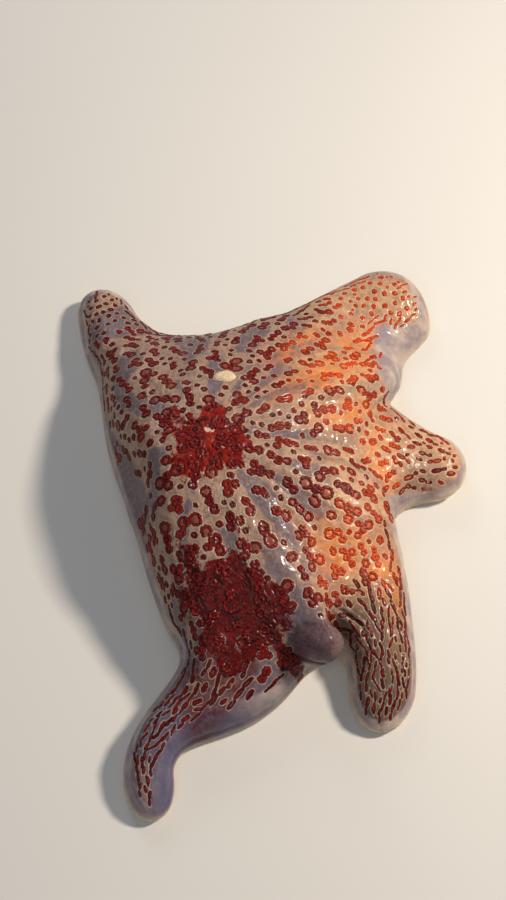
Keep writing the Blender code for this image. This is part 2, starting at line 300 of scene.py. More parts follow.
# ================================================================ the skin's grid
TOP_COLUMNS = 236      # across an arm, upper side
UNDER_COLUMNS = 90     # across an arm, underside
ROWS = 126             # along an arm, without its rounded tip
TIP_ROWS = 34
NOTCH_RAYS = 34        # between two arms
TOP_RINGS = 190
UNDER_RINGS = 64
GROOVE_SHARE = 0.18    # middle of the underside with closer columns, for the groove
EDGE_SHARE = 0.08      # and of the margin
GROOVE_CROWD, EDGE_CROWD = 2.0, 3.0       # how much closer the columns are there
ARM_SECTION = (32.0, 20.0)                # typical half width and height of an arm ...
DISC_RADIUS, DISC_TOP, DISC_UNDER = 66.0, 28.0, 6.0   # ... and of the disc, above and below
WALLS_OPEN = 1.25      # how much wider an arm is on the texture map than laid out flat


def even_shares(count, width, height):
    """Shares of a half width that lie evenly along a domed section, from the middle to the margin."""
    v = np.sin(np.linspace(0, np.pi / 2, 4001))
    rise = height * (1 - v ** TOP_ROUND) ** (1 / TOP_ROUND)
    run = np.concatenate([[0], np.cumsum(np.hypot(width * np.diff(v), np.diff(rise)))])
    return np.interp(np.linspace(0, run[-1], count + 1), run, v)


def top_columns():
    """Shares of the half width across an arm, evenly along the skin."""
    half = even_shares(TOP_COLUMNS // 2, *ARM_SECTION)
    return np.concatenate([-half[:0:-1], half])


def under_columns():
    """Shares of the half width across the underside, close in the groove and at the margins."""
    table = np.linspace(-1, 1, 801)
    crowd = 1 + GROOVE_CROWD * np.exp(-(table / GROOVE_SHARE) ** 2)
    crowd += EDGE_CROWD * np.exp(-((np.abs(table) - 1) / EDGE_SHARE) ** 2)
    run = np.concatenate([[0], np.cumsum((crowd[1:] + crowd[:-1]) / 2)])
    return np.interp(np.linspace(0, run[-1], UNDER_COLUMNS + 1), run, table)


def arm_points(s, arm, share):
    """Polar coordinates of the columns of an arm on the rows s."""
    left, right = arm_edge(s, arm, 1), arm_edge(s, arm, -1)
    share = share[None, :]
    d = np.where(share > 0, share * left[:, None], share * right[:, None])
    s = np.asarray(s, float)[:, None] + 0 * d
    return np.hypot(s, d), arm["flat"] + np.degrees(np.arctan2(d, s))


class Skin:
    """Vertices in flat coordinates with their place in the texture, and faces of either side."""

    def __init__(self):
        self.rho, self.theta, self.upper, self.chart = [], [], [], []
        self.count = 0
        self.top_faces, self.under_faces = [], []

    def add(self, rho, theta, upper, chart):
        """Number new vertices; chart is their place on the unrolled star, as a complex number."""
        rho = np.asarray(rho, float)
        self.rho.append(rho.ravel())
        self.theta.append(np.asarray(theta, float).ravel())
        self.upper.append(np.full(rho.size, upper))
        self.chart.append(np.asarray(chart).ravel())
        made = self.count + np.arange(rho.size).reshape(rho.shape)
        self.count += rho.size
        return made

    def weave(self, grid, upper):
        """Quads between the rows of a grid of vertex numbers, facing out."""
        a, b, c, d = grid[:-1, :-1], grid[1:, :-1], grid[1:, 1:], grid[:-1, 1:]
        order = (a, b, c, d) if upper else (a, d, c, b)
        faces = np.stack([corner.ravel() for corner in order], 1)
        (self.top_faces if upper else self.under_faces).extend(faces.tolist())

    def fan(self, centre, row, upper, outward):
        """Triangles from one vertex to a row, where outward says that the row runs on from it."""
        for near, far in zip(row, row[1:]):
            face = [centre, near, far] if upper == outward else [centre, far, near]
            (self.top_faces if upper else self.under_faces).append(face)


def unrolled(s, share, arm):
    """Place on the unrolled star of a point of an arm, where the side walls lie open."""
    width = half_width(np.asarray(s, float), arm) * WALLS_OPEN
    beside = np.arcsin(np.clip(share, -1, 1)) / (np.pi / 2) * width
    return (s + 1j * beside) * np.exp(1j * np.radians(arm["flat"]))


def disc_rays(order, share):
    """Ends of the disc's rays once round, with their place on the chart."""
    length, angle, chart = [], [], []
    for arm, following in zip(order, order[1:] + order[:1]):
        rho, theta = arm_points([CUT], arm, share)
        following_theta = arm_points([CUT], following, share)[1][0][0]
        t = np.linspace(0, 1, NOTCH_RAYS + 2)[1:-1]
        web = theta[0][-1] + turn(following_theta - theta[0][-1]) * t
        corner, next_corner = unrolled(CUT, 1.0, arm), unrolled(CUT, -1.0, following)
        length += [rho[0], rim_distance(web)]
        angle += [theta[0], web]
        chart += [unrolled(CUT, share, arm), corner + (next_corner - corner) * t]
    return [np.concatenate(part) for part in (length, angle, chart)]


def disc_rings(count, ends, height):
    """Rings over the disc, out to the ends of its rays."""
    length, angle, chart = ends
    share = even_shares(count, DISC_RADIUS, height)[1:, None]
    return share * length[None, :], np.repeat(angle[None, :], count, 0), share * chart[None, :]


def closed(grid):
    """The grid with its first column again behind its last."""
    return np.concatenate([grid, grid[:, :1]], 1)


def make_grid():
    """The whole skin as one closed grid: the disc's rays run on into the arms' columns."""
    skin = Skin()
    order = sorted(ARMS.values(), key=lambda arm: arm["flat"])
    body = np.linspace(CUT, REACH - TIP_CAP, ROWS + 1)[1:-1]
    end = REACH - TIP_CAP * (1 - np.sin(np.linspace(0, np.pi / 2, TIP_ROWS + 1)))
    s_rows = np.concatenate([body, end[:-1]])

    upper_share, under_share = top_columns(), under_columns()
    top_ends, under_ends = disc_rays(order, upper_share), disc_rays(order, under_share)
    rho, theta, chart = disc_rings(TOP_RINGS, top_ends, DISC_TOP)
    top = skin.add(rho, theta, True, chart)
    rho, theta, chart = disc_rings(UNDER_RINGS, under_ends, DISC_UNDER)
    under = skin.add(rho[:-1], theta[:-1], False, chart[:-1])
    top_span, under_span = TOP_COLUMNS + 1 + NOTCH_RAYS, UNDER_COLUMNS + 1 + NOTCH_RAYS
    last = np.zeros(len(under_ends[0]), int)
    for k in range(len(order)):   # the underside's last ring shares the margin with the upper side
        mine = slice(k * under_span + 1, k * under_span + UNDER_COLUMNS)
        last[mine] = skin.add(under_ends[0][mine], under_ends[1][mine], False, under_ends[2][mine])
        last[k * under_span] = top[-1, k * top_span]
        first_notch = k * top_span + TOP_COLUMNS
        last[k * under_span + UNDER_COLUMNS:(k + 1) * under_span] = top[-1, first_notch:(k + 1) * top_span]
    under = np.concatenate([under, last[None, :]])
    skin.weave(closed(top), True)
    skin.weave(closed(under), False)
    skin.fan(skin.add([0.0], [0.0], True, [0j])[0], closed(top)[0], True, True)
    skin.fan(skin.add([0.0], [0.0], False, [0j])[0], closed(under)[0], False, True)

    for k, arm in enumerate(order):
        rho, theta = arm_points(s_rows, arm, upper_share)
        chart = unrolled(s_rows[:, None], upper_share[None, :], arm)
        made = skin.add(rho, theta, True, chart)
        first = top[-1, k * top_span:k * top_span + TOP_COLUMNS + 1]
        upper_rows = np.concatenate([first[None, :], made])
        rho, theta = arm_points(s_rows, arm, under_share)
        chart = unrolled(s_rows[:, None], under_share[None, :], arm)
        made = skin.add(rho[:, 1:-1], theta[:, 1:-1], False, chart[:, 1:-1])
        made = np.concatenate([upper_rows[1:, :1], made, upper_rows[1:, -1:]], 1)
        under_rows = np.concatenate([last[None, k * under_span:k * under_span + UNDER_COLUMNS + 1], made])
        skin.weave(upper_rows, True)
        skin.weave(under_rows, False)
        tip = skin.add([REACH], [arm["flat"]], True, [unrolled(REACH, 0.0, arm)])[0]
        skin.fan(tip, upper_rows[-1], True, False)
        skin.fan(tip, under_rows[-1], False, False)
    return skin


# ================================================================ rings of papulae
# Papulae, the soft skin gills, stand in small rings. Rings gather in clusters and chains on rows
# that fan out from the disc's centre and run along the arms. Towards the walls and on the third
# and fourth arm they draw out into streaks, and near the tips they part into single spots.
RANDOM = np.random.default_rng(41)
LANES = 17
LANE_SHARE = 0.95
MOST_RINGS = 9000
RING_GAP = 0.60            # bare skin between the rings of different clusters
SIDE_WALLS = {   # where the bare wall starts along an arm: (s, share of the half width), left, right
    "arm_1": ([(60, 0.90), (135, 0.92)],
              [(46, 0.80), (52, 0.66), (60, 0.63), (76, 0.59), (89, 0.53), (98, 0.45), (104, 0.36),
               (112, 0.50), (119, 0.66), (125, 0.82)]),
    "arm_2": ([(56, 0.72), (70, 0.84), (79, 0.94), (100, 0.93)], [(60, 0.80), (80, 0.78), (112, 0.94)]),
    "arm_3": ([(60, 0.80), (92, 0.84), (120, 0.92)], [(60, 0.86), (120, 0.90)]),
    "arm_4": ([(62, 0.90), (74, 0.86), (82, 0.66), (90, 0.42), (101, 0.32), (122, 0.24)],
              [(60, 0.86), (120, 0.82)]),
    "arm_5": ([(60, 0.88), (120, 0.86)], [(60, 0.88), (120, 0.86)]),
}


LANE_START, LANE_STEP, LANE_STAGGER = 6.0, 1.2, 0.7   # places along a lane
LANE_JITTER = (0.5, 0.6)   # by which a place is shifted along and beside its lane
AHEAD = 1.5                # distance over which a lane's direction is taken
SMALLER = (78.0, 112.0)    # stretch of an arm over which the rings part into small spots
STREAKS_ALONG = np.array([0.0, 0.25, 0.9, 1.0, 0.3])     # how much of each arm is streaked ...
STREAKS_AT_WALL = np.array([1.0, 0.5, 0.9, 1.0, 0.8])    # ... and of the rows beside its walls
ROOM_ROUND_FOLD = 1.18     # distances from the middle of the bare fold, as shares of its size,
ROOM_FOR_CLUSTERS = 1.30   # which rings and clusters keep
ROOM_ROUND_PLATE = 1.6     # likewise from the sieve plate
PAPULA_PITCH, OVERLAP = 1.75, 1.30    # of the papulae round a ring, in half widths
FEWEST, GAP_CHANCE = 5, 0.35          # papulae in a ring, and how often one is missing
FILLED_BELOW = 1.45                   # a ring narrower than this, in half widths, is one papula
SOLID, LEFT_OUT = 0.40, 0.6   # where a patch is solid, this share of the places stays free


def wall_start(number, s, d):
    """Share of the half width where the papulae end and the bare wall starts."""
    start = np.zeros(np.shape(s))
    for k, (left, right) in enumerate(SIDE_WALLS.values()):
        for on_side, table in ((d >= 0, left), (d < 0, right)):
            start = np.where((number == k) & on_side, np.interp(s, *np.array(table).T), start)
    return start


def lane_half(s, arm):
    """Half of the width over which an arm's lanes are spread: a wedge on the disc, then the arm."""
    wedge = s * np.tan(np.radians(SECTOR / 2))
    return (wedge ** -4 + half_width(s, arm) ** -4) ** -0.25


def plate_distance(rho, theta):
    """0 in the middle of the sieve plate, 1 on its outline."""
    size = MADREPORITE
    away = in_plane(rho, theta) - in_plane(size["rho"], size["theta"])
    away = away * np.exp(-1j * np.radians(size["theta"] + 90 - size["turn"]))
    return np.hypot(away.real / (size["length"] / 2), away.imag / (size["width"] / 2))


def surface_frame(rho, theta, ahead_rho, ahead_theta):
    """Points of the upper side with the tangent towards a second point, the side and the normal."""
    spot = upper_side(rho, theta)
    ahead = upper_side(ahead_rho, ahead_theta) - spot
    out = upper_side(rho + 0.5, theta) - upper_side(rho - 0.5, theta)
    aside = upper_side(rho, theta + 0.5) - upper_side(rho, theta - 0.5)
    normal = np.cross(out, aside)
    normal /= np.linalg.norm(normal, axis=-1, keepdims=True)
    ahead -= normal * (ahead * normal).sum(-1, keepdims=True)
    ahead /= np.linalg.norm(ahead, axis=-1, keepdims=True)
    return spot, ahead, np.cross(normal, ahead), normal


def lane_candidates():
    """Points along all lanes, from the centre outwards: arm number, s, d and the lane's share."""
    rows = []
    for number, arm in enumerate(ARMS.values()):
        for lane, share in enumerate(np.linspace(-LANE_SHARE, LANE_SHARE, LANES)):
            s = np.arange(LANE_START + LANE_STAGGER * (lane % 2), REACH - 2, LANE_STEP)
            s = s + RANDOM.uniform(-LANE_JITTER[0], LANE_JITTER[0], len(s))
            d = share * lane_half(s, arm) + RANDOM.uniform(-LANE_JITTER[1], LANE_JITTER[1], len(s))
            rows.append(np.stack([np.full(len(s), number), s, d, np.full(len(s), share)], 1))
    table = np.concatenate(rows)
    return table[np.argsort(table[:, 1])]


def polar(number, s, d):
    """Polar place of a point given along and beside an arm."""
    return np.hypot(s, d), FLATS[number] + np.degrees(np.arctan2(d, s))


def streaking(number, s, d, v):
    """0 for round rings, 1 for long streaks: towards the walls and along the third and fourth arm."""
    along_arm = STREAKS_ALONG[number] * smooth(60, 92, s)
    near_wall = smooth(-0.30, -0.05, v - wall_start(number, s, d)) * smooth(50, 78, s)
    return np.clip(np.maximum(along_arm, STREAKS_AT_WALL[number] * near_wall), 0, 1)


def cluster_gaps(number, streak, small):
    """Distance between clusters along and across their row."""
    on_second = small * (number == SECOND)
    gap_along = 9.1 - 4.7 * small + 2.8 * streak * (1 - small) + 1.2 * on_second
    gap_across = 6.9 - 3.2 * small - 2.9 * streak * (1 - 0.6 * small) - 0.4 * on_second
    return gap_along, gap_across


def seeds():
    """All places for papulae, and those of the clusters: each as far from its neighbours, along and
    across, as its size asks."""
    table = lane_candidates()
    number, s, d = table[:, 0].astype(int), table[:, 1], table[:, 2]
    rho, theta = polar(number, s, d)
    v = margin(rho, theta)
    lane = [lane_half(s + AHEAD, arm) for arm in ARMS.values()]
    ahead = polar(number, s + AHEAD, table[:, 3] * np.choose(number, lane))
    spot, way, side, _ = surface_frame(rho, theta, *ahead)
    streak = streaking(number, s, d, v)
    small = smooth(*SMALLER, s)
    size = RANDOM.uniform(0.85, 1.2, len(s))
    size *= 1.28 - 0.28 * smooth(34, SMALLER[0], s)
    gap_along, gap_across = (gap * size for gap in cluster_gaps(number, streak, small))
    solid = np.maximum(centre_blotch(rho, theta), base_blotch(rho, theta))
    bare = v > wall_start(number, s, d) - 0.02
    bare |= lump_distance(spot) < ROOM_FOR_CLUSTERS
    bare |= bare_web(rho, theta) > 0.5
    bare |= plate_distance(rho, theta) < ROOM_ROUND_PLATE
    bare |= (solid > SOLID) & (RANDOM.uniform(0, 1, len(s)) < LEFT_OUT)
    keys = dict(number=number, spot=spot, way=way, side=side, streak=streak, small=small, size=size,
                clear=lead_patches(rho, theta), gap_along=gap_along, gap_across=gap_across)
    keys = {key: value[~bare] for key, value in keys.items()}
    spot, way, side = keys["spot"], keys["way"], keys["side"]
    gap_along, gap_across = keys["gap_along"], keys["gap_across"]
    chosen = []
    for k in range(len(spot)):
        if chosen:
            apart = spot[chosen] - spot[k]
            a = apart @ way[k] / gap_along[k]
            b = apart @ side[k] / gap_across[k]
            if (a * a + b * b).min() < 1:
                continue
        chosen.append(k)
    return keys, chosen


def cluster(number, streak, small, size):
    """Rings of one cluster: (ahead, aside, half length, half width, half thickness, turn)."""
    draw = RANDOM.uniform(0, 1, 12)
    if small > 0.6 and streak < 0.55:
        return tip_ovals(draw) if number == SECOND else tip_spots(draw)
    if streak > 0.45:
        return streak_file(draw, streak, small)
    lower = number in (THIRD, FOURTH)
    size = size * (1 - 0.32 * small) * (1.12 if lower else 1.03)
    return rosette(size, (3 if lower else 2) + int(3 * draw[0]), 1.2 if lower else 2.1)


def tip_ovals(draw):
    """One or two narrow ovals in line, near the second arm's tip."""
    long = 1.7 + 1.0 * draw[0]
    rings = [(0.0, 0.0, long, 1.0 + 0.35 * draw[1], 0.46, 0)]
    if draw[3] < 0.5:
        rings.append((long + 1.3, 1.4 * (draw[4] - 0.5), 1.3 + 0.5 * draw[5], 0.95, 0.46, 0))
    return rings


def tip_spots(draw):
    """A spot near an arm's tip, now and then with a smaller one beside it."""
    rings = [(0.0, 0.0, 1.15 + 0.6 * draw[0], 1.0 + 0.35 * draw[1], 0.58, 3 * draw[2])]
    if draw[3] < 0.25:
        rings.append((2.3 + draw[4], 1.6 * draw[5] - 0.8, 0.9, 0.7, 0.60, 3 * draw[6]))
    return rings


def streak_file(draw, streak, small):
    """A narrow ring, or a file of narrow spots, along the row."""
    rings, at = [], 0.0
    wide = (1.22 - 0.42 * streak) * (1 - 0.25 * small)
    for k in range(1 + int(draw[0] * 3.4 * (1 - 0.35 * small))):
        long = (1.2 + (1.2 + 2.2 * draw[1 + k]) * streak) * (1 - 0.35 * small)
        at += long
        rings.append((at, 1.1 * (draw[5 + k] - 0.5), long, wide * (0.75 + 0.5 * draw[8]), 0.48,
                      0.22 * (draw[9] - 0.5)))
        at += long * 0.86
    return [(a - at / 2, *rest) for a, *rest in rings]


def rosette(size, count, drawn_out):
    """Touching rings packed round one another, drawn out along their row by that factor."""
    made = []
    for _ in range(count):
        radius = (1.5 + 0.85 * RANDOM.uniform()) * size
        spots = [(0.0, 0.0)]
        for a, b, long, *_ in made:
            angle = RANDOM.uniform(0, 2 * np.pi, 9)
            reach = 0.86 * (long + radius)
            spots += [(a + reach * np.cos(way), b + reach * np.sin(way)) for way in angle]
        free = [(a, b) for a, b in spots if all(np.hypot(a - x, b - y) > 0.82 * (r + radius)
                                                for x, y, r, *_ in made)]
        a, b = min(free, key=lambda spot: np.hypot(spot[0] / drawn_out, spot[1]))
        squeeze = RANDOM.uniform(0.74, 1.0)
        thick = 0.74 + 0.12 * size * RANDOM.uniform()
        made.append((a, b, radius, radius * squeeze, thick, 3 * RANDOM.uniform()))
    middle = np.mean([ring[:2] for ring in made], 0)
    return [(a - middle[0], b - middle[1], *rest) for a, b, *rest in made]


def ring_of_papulae(centre, along, across, long, short, thick):
    """Papulae side by side on an oval, sometimes one of them missing; a small oval is filled."""
    if short < FILLED_BELOW * thick:
        return [(centre, along, across, long, short)]
    line = long - thick, short - 0.9 * thick
    count = max(FEWEST, int(round(np.pi * (line[0] + line[1]) / (PAPULA_PITCH * thick))))
    phase = RANDOM.uniform(0, 2 * np.pi)
    gap = RANDOM.integers(0, count) if count > FEWEST + 1 and RANDOM.uniform() < GAP_CHANCE else -1
    made = []
    for k in range(count):
        if k == gap:
            continue
        a = phase + 2 * np.pi * (k + RANDOM.uniform(-0.18, 0.18)) / count
        push = RANDOM.uniform(0.94, 1.07)
        spot = centre + push * (along * line[0] * np.cos(a) + across * line[1] * np.sin(a))
        run = -along * line[0] * np.sin(a) + across * line[1] * np.cos(a)
        reach = np.linalg.norm(run)
        run = run / reach
        out = np.cross(np.cross(along, across), run)
        made.append((spot, run, out, max(reach * np.pi / count * OVERLAP, 0.8 * thick),
                     thick * RANDOM.uniform(0.86, 1.14)))
    return made


def grow_papulae():
    """All papulae as (centre, long way, short way, half length, half width, tone), and all rings."""
    places, chosen = seeds()
    papulae, rings = [], []
    centres, radii, owners = np.zeros((MOST_RINGS, 3)), np.zeros(MOST_RINGS), np.full(MOST_RINGS, -1)

    def try_ring(k, a, b, long, short, thick, tilt, tone, gap):
        """Grow a ring at a place, ahead by a and aside by b, unless another one is in the way."""
        way, side = places["way"][k], places["side"][k]
        centre = places["spot"][k] + way * a + side * b
        tilt = tilt if long < 1.6 * short else RANDOM.normal(0, 0.12)
        along = way * np.cos(tilt) + side * np.sin(tilt)
        across = side * np.cos(tilt) - way * np.sin(tilt)
        made = len(rings)
        reach = (long + short) / 2 if long < 1.8 * short else 1.25 * short
        apart = np.linalg.norm(centres[:made] - centre, axis=1) - radii[:made] - reach
        if lump_distance(centre) < ROOM_ROUND_FOLD or (made and (apart[owners[:made] != k] < gap).any()):
            return
        centres[made], radii[made], owners[made] = centre, reach, k
        rings.append((centre, along, across, long, short))
        papulae.extend((*p, tone) for p in ring_of_papulae(centre, along, across, long, short, thick))

    for k in chosen:
        streak, small = places["streak"][k], places["small"][k]
        tone = RANDOM.uniform()
        for ring in cluster(places["number"][k], streak, small, places["size"][k]):
            try_ring(k, *ring, tone, RING_GAP - 0.35 * streak)
    for k in RANDOM.permutation(len(places["spot"])):     # small rings in the gaps that are left
        streak, small = places["streak"][k], places["small"][k]
        short = (1.35 - 0.45 * small - 0.25 * streak) * RANDOM.uniform(0.85, 1.2)
        long = short * (1.15 + 1.1 * streak)
        gap = 0.75 + 1.5 * places["clear"][k] * (1 - streak)
        try_ring(k, 0.0, 0.0, long, short, 0.60, 3 * RANDOM.uniform(), RANDOM.uniform(), gap)
    return papulae, rings


FAR, EDGE_REACH = 4.0, 2.6     # edge distance of the bare ground, and how far out it is measured


def papula_fields(points, papulae, rings):
    """Per point: signed distance to the nearest papula's edge, its tone, and how far inside a ring."""
    tree = kdtree.KDTree(len(points))
    for k, p in enumerate(points):
        tree.insert(p, k)
    tree.balance()
    edge, tone, inside = np.full(len(points), FAR), np.full(len(points), 0.5), np.zeros(len(points))

    def near_to(centre, reach):
        return np.array([hit[1] for hit in tree.find_range(Vector(centre), reach)], int)

    for centre, long_way, short_way, long, short, own_tone in papulae:
        near = near_to(centre, long + EDGE_REACH)
        if len(near):
            apart = points[near] - centre
            q = np.hypot(apart @ long_way / long, apart @ short_way / short)
            distance = (q - 1) * np.where(q > 1, (long + short) / 2, short)
            closer = distance < edge[near]
            edge[near[closer]], tone[near[closer]] = distance[closer], own_tone
    for centre, along, across, long, short in rings:
        near = near_to(centre, long)
        if len(near):
            apart = points[near] - centre
            q = np.hypot(apart @ along / long, apart @ across / short)
            inside[near] = np.maximum(inside[near], 1 - smooth(0.75, 1.0, q))
    return edge, tone, inside


# ================================================================ fields over the body
def waves(points, length, seed, count=22):
    """Smooth noise of about one wave length, between roughly -1 and 1, as a sum of plane waves."""
    random = np.random.default_rng(seed)
    way = random.normal(size=(count, 3))
    way /= np.linalg.norm(way, axis=1, keepdims=True)
    pitch = 2 * np.pi / (length * random.uniform(0.7, 1.5, count))
    phase = random.uniform(0, 2 * np.pi, count)
    total = np.zeros(len(points))
    for k in range(count):
        total += np.sin(points @ (way[k] * pitch[k]) + phase[k])
    return total * np.sqrt(2 / count) / 1.6


def flat_waves(rho, theta, length, seed):
    """Smooth noise over the flat body."""
    flat = in_plane(rho, theta)
    points = np.stack([flat.real, flat.imag, 0 * flat.real], -1).reshape(-1, 3)
    return waves(points, length, seed).reshape(np.shape(flat))


def oval(x, y, middle, half):
    """0 in the middle of an oval, 1 on its outline."""
    return np.hypot((x - middle[0]) / half[0], (y - middle[1]) / half[1])


def centre_blotch(rho, theta):
    """The solid dark red patch on the middle of the disc."""
    flat = in_plane(rho, theta)
    near = oval(flat.real, flat.imag, (-0.5, 0.5), (16.5, 12.6))
    return 1 - smooth(0.72, 1.28, near + 0.24 * flat_waves(rho, theta, 10.0, 21))


def base_blotch(rho, theta):
    """The solid dark red base of the fourth arm, which dissolves along the arm."""
    way = in_plane(rho, theta - FLATS[FOURTH])
    near = oval(way.real, way.imag, (57.0, 7.0), (23.0, 20.0))
    ragged = 0.22 * flat_waves(rho, theta, 12.0, 22)
    ragged += 0.75 * smooth(52, 70, way.real) * along_rows(rho, theta, 6.0, 24)
    faded = 0.30 * smooth(56, 70, way.real) + smooth(76, 88, way.real)
    return 1 - smooth(0.60, 1.40, near + ragged + faded)


def fleck_share(rho, theta):
    """The pale fleck in the middle of the disc's dark patch."""
    flat = in_plane(rho, theta)
    return 1 - smooth(0.4, 1.2, oval(flat.real, flat.imag, (-1.1, 2.8), (3.0, 1.9)))


def along_rows(rho, theta, length, seed):
    """Noise drawn out along the rows that fan out over the disc."""
    way = np.exp(1j * np.radians(theta)) * 42.0
    return waves(np.stack([way.real, way.imag, rho * 0.36], -1), length, seed)


def lead_patches(rho, theta):
    """Grey patches of the ground between the rows."""
    lower = smooth(-10, -40, rho * np.sin(np.radians(theta + 12)))
    patchy = smooth(-0.1 - 0.5 * lower, 0.7 - 0.3 * lower, along_rows(rho, theta, 12.0, 23))
    return patchy * smooth(9, 26, rho)


# Orange washes, partly pigment and partly painted sun glow on the lit arms.
SUNLIT_ORANGE_WASHES = (        # arm, distance along and beside it, half length, half width
    (FIRST, 44, -20, 22, 11), (FIRST, 86, -12, 22, 10), (FIRST, 58, 2, 18, 6),
    (SECOND, 84, -6, 11, 17), (SECOND, 52, 16, 16, 7),
    (THIRD, 60, 2, 15, 20), (THIRD, 78, 12, 18, 9),
)


def orange_wash_and_sun_glow(rho, theta):
    """Orange ground on the bases of the first three arms, partly pigment and partly painted sun glow."""
    number, s, d = nearest_arm(rho, theta)
    total = np.zeros(np.shape(rho))
    for arm, at, aside, long, wide in SUNLIT_ORANGE_WASHES:
        near = ((s - at) / long) ** 2 + ((d - aside) / wide) ** 2
        total = np.maximum(total, (number == arm) * np.exp(-near))
    return total


def blue_shade_share(rho, theta):
    """Painted blue shade along the fourth arm, strongest on its left wall."""
    number, s, d = nearest_arm(rho, theta)
    return (number == FOURTH) * smooth(68, 96, s) * (0.40 + 0.60 * smooth(-6, 6, d))


def stain_share(rho, theta):
    """Dark brown red ground where the fourth arm's dark base dissolves along the arm."""
    number, s, d = nearest_arm(rho, theta)
    near = oval(s, d, (72.0, 3.0), (33.0, 21.0))
    return (number == FOURTH) * (1 - smooth(0.55, 1.15, near + 0.25 * along_rows(rho, theta, 9.0, 25)))


def dark_brown_share(rho, theta):
    """Darker brown ground on the outer half of the third arm."""
    number, s, _ = nearest_arm(rho, theta)
    return (number == THIRD) * smooth(70, 92, s)


# Orange papulae on the right-hand arms are partly pigment, partly painted sunlight.
ARM_ORANGE_AND_SUNLIGHT = np.array([0.46, 0.40, 0.28, 0.0, 0.1])     # how orange each arm's papulae are


def orange_and_sunlit_share(rho, theta, warm_and_sunlit):
    """How orange the papulae are, partly pigment and partly painted sunlight: most in the washes and at the
    first arm's tip.
    """
    number, s, _ = nearest_arm(rho, theta)
    orange_and_sunlit = ARM_ORANGE_AND_SUNLIGHT[number] * warm_and_sunlit * (1 - dark_brown_share(rho, theta))
    return orange_and_sunlit + 0.62 * orange_wash_and_sun_glow(rho, theta) + 0.30 * (number == FIRST) * smooth(84, 104, s)


BARE_WEBS = {      # where the bare ground before each web starts, and its half width
    FOLD_WEB: (40.0, 5.6), 36.0: (62.0, 5.5), -36.0: (66.0, 4.0), 108.0: (60.0, 4.0), 180.0: (56.0, 4.0),
}


def bare_web(rho, theta):
    """Bare ground towards the webs: long before the fold, short elsewhere."""
    total = 0.0
    for at, (start, spread) in BARE_WEBS.items():
        beside = rho * np.sin(np.radians(turn(theta - at)))
        ahead = rho * np.cos(np.radians(turn(theta - at)))
        share = smooth(start - 8, start + 8, ahead) * np.exp(-(beside / spread) ** 4)
        total = np.maximum(total, share)
    return total


def wall_share(rho, theta, v):
    """1 on the bare side walls, 0 where papulae stand."""
    number, s, d = nearest_arm(rho, theta)
    start = wall_start(number, s, d)
    return smooth(start - 0.03, start + 0.05, v)


def groove_half(s):
    """Half width of the groove under an arm."""
    return 3.5 - 1.5 * s / REACH


def groove_depth(s):
    """Depth of the groove under an arm."""
    return 3.4 - 1.6 * s / REACH


def groove_share(rho, theta):
    """1 in the middle of an arm's groove, 0 outside it."""
    _, s, d = nearest_arm(rho, theta)
    half = groove_half(s)
    return (1 - smooth(0.5 * half, 1.3 * half, np.abs(d))) * (1 - smooth(124, 131, s)) * smooth(1, 7, s)


def mouth_share(rho):
    """1 in the mouth, 0 outside it."""
    return 1 - smooth(3.2, 7.6, rho)


# ================================================================ relief of the skin
PAPULA_RISE, PAPULA_ROUND = 0.55, 0.85     # height of a papula, and width of its rounded edge
LIP_OUT, LIP_DOWN = 1.7, 1.3               # how far the margin's lip flares
LEAST_RIM = 0.5                            # the upper side stays this far above the floor
MOUTH_DEPTH, PLATE_FURROW = 5.5, 0.16
WRINKLE_LINES = 2.6                        # distance between the fine lines across the walls
UNEVEN = (         # height, wave length, seed and share of it that is missing on the walls
    (0.16, 8.0, 1, 0.7), (0.40, 26.0, 2, 0.0), (0.07, 2.6, 3, 0.5),
)


def upper_relief(points, rho, theta, v, edge):
    """Height of the relief over the plain upper side."""
    rise = PAPULA_RISE * np.sqrt(1 - np.clip(1 + edge / PAPULA_ROUND, 0, 1) ** 2)
    rise += 0.10 * np.exp(-((edge - 0.8) / 0.35) ** 2) - 0.16 * (1 - smooth(0.0, 0.8, edge))
    rise += 0.20 * smooth(0.6, EDGE_REACH, edge)
    wall = wall_share(rho, theta, v)
    for height, length, seed, calm in UNEVEN:
        rise += height * waves(points, length, seed) * (1 - calm * wall)
    rise += 0.34 * along_rows(rho, theta, 10.0, 31) * smooth(14, 34, rho) * (1 - 0.8 * wall)
    rough = np.maximum(centre_blotch(rho, theta), base_blotch(rho, theta))
    rise += rough * (0.15 * waves(points, 1.7, 4) + 0.12 * waves(points, 3.6, 5))
    _, s, _ = nearest_arm(rho, theta)
    rise += 0.035 * wall * np.sin(2 * np.pi * (s + 1.6 * waves(points, 12.0, 6)) / WRINKLE_LINES)
    return rise + fold_relief(points)


# The bare fold between the third and fourth arm, in the pose
LUMP_MIDDLE = np.array([22.4, -66.6, 27.8])
LUMP_AXES = np.array([[1.0, 0.0, 0.0], [0.0, -0.55, 0.835], [0.0, 0.835, 0.55]])
LUMP_HALF = np.array([12.4, 9.6, 9.0])
LUMP_FRONT = np.array([0.15, -0.99, 0.0])     # the side on which it overhangs


def lump_distance(points):
    """0 in the middle of the bare fold's swelling, 1 on its outline."""
    return np.linalg.norm((points - LUMP_MIDDLE) @ LUMP_AXES.T / LUMP_HALF, axis=-1)


def overhang(points):
    """1 on the sides where the bare fold overhangs its crease, 0 where it grows out of the disc."""
    return smooth(-7.0, 4.0, (points - LUMP_MIDDLE) @ LUMP_FRONT)


def swell(points):
    """The skin blown up to a smooth dome at the bare fold, with a sharp crease where it overhangs."""
    r = np.maximum(lump_distance(points), 1e-3)
    grown = np.where(r < 1, r ** (0.44 - 0.22 * overhang(points)), r) / r
    return LUMP_MIDDLE + (points - LUMP_MIDDLE) * grown[..., None]


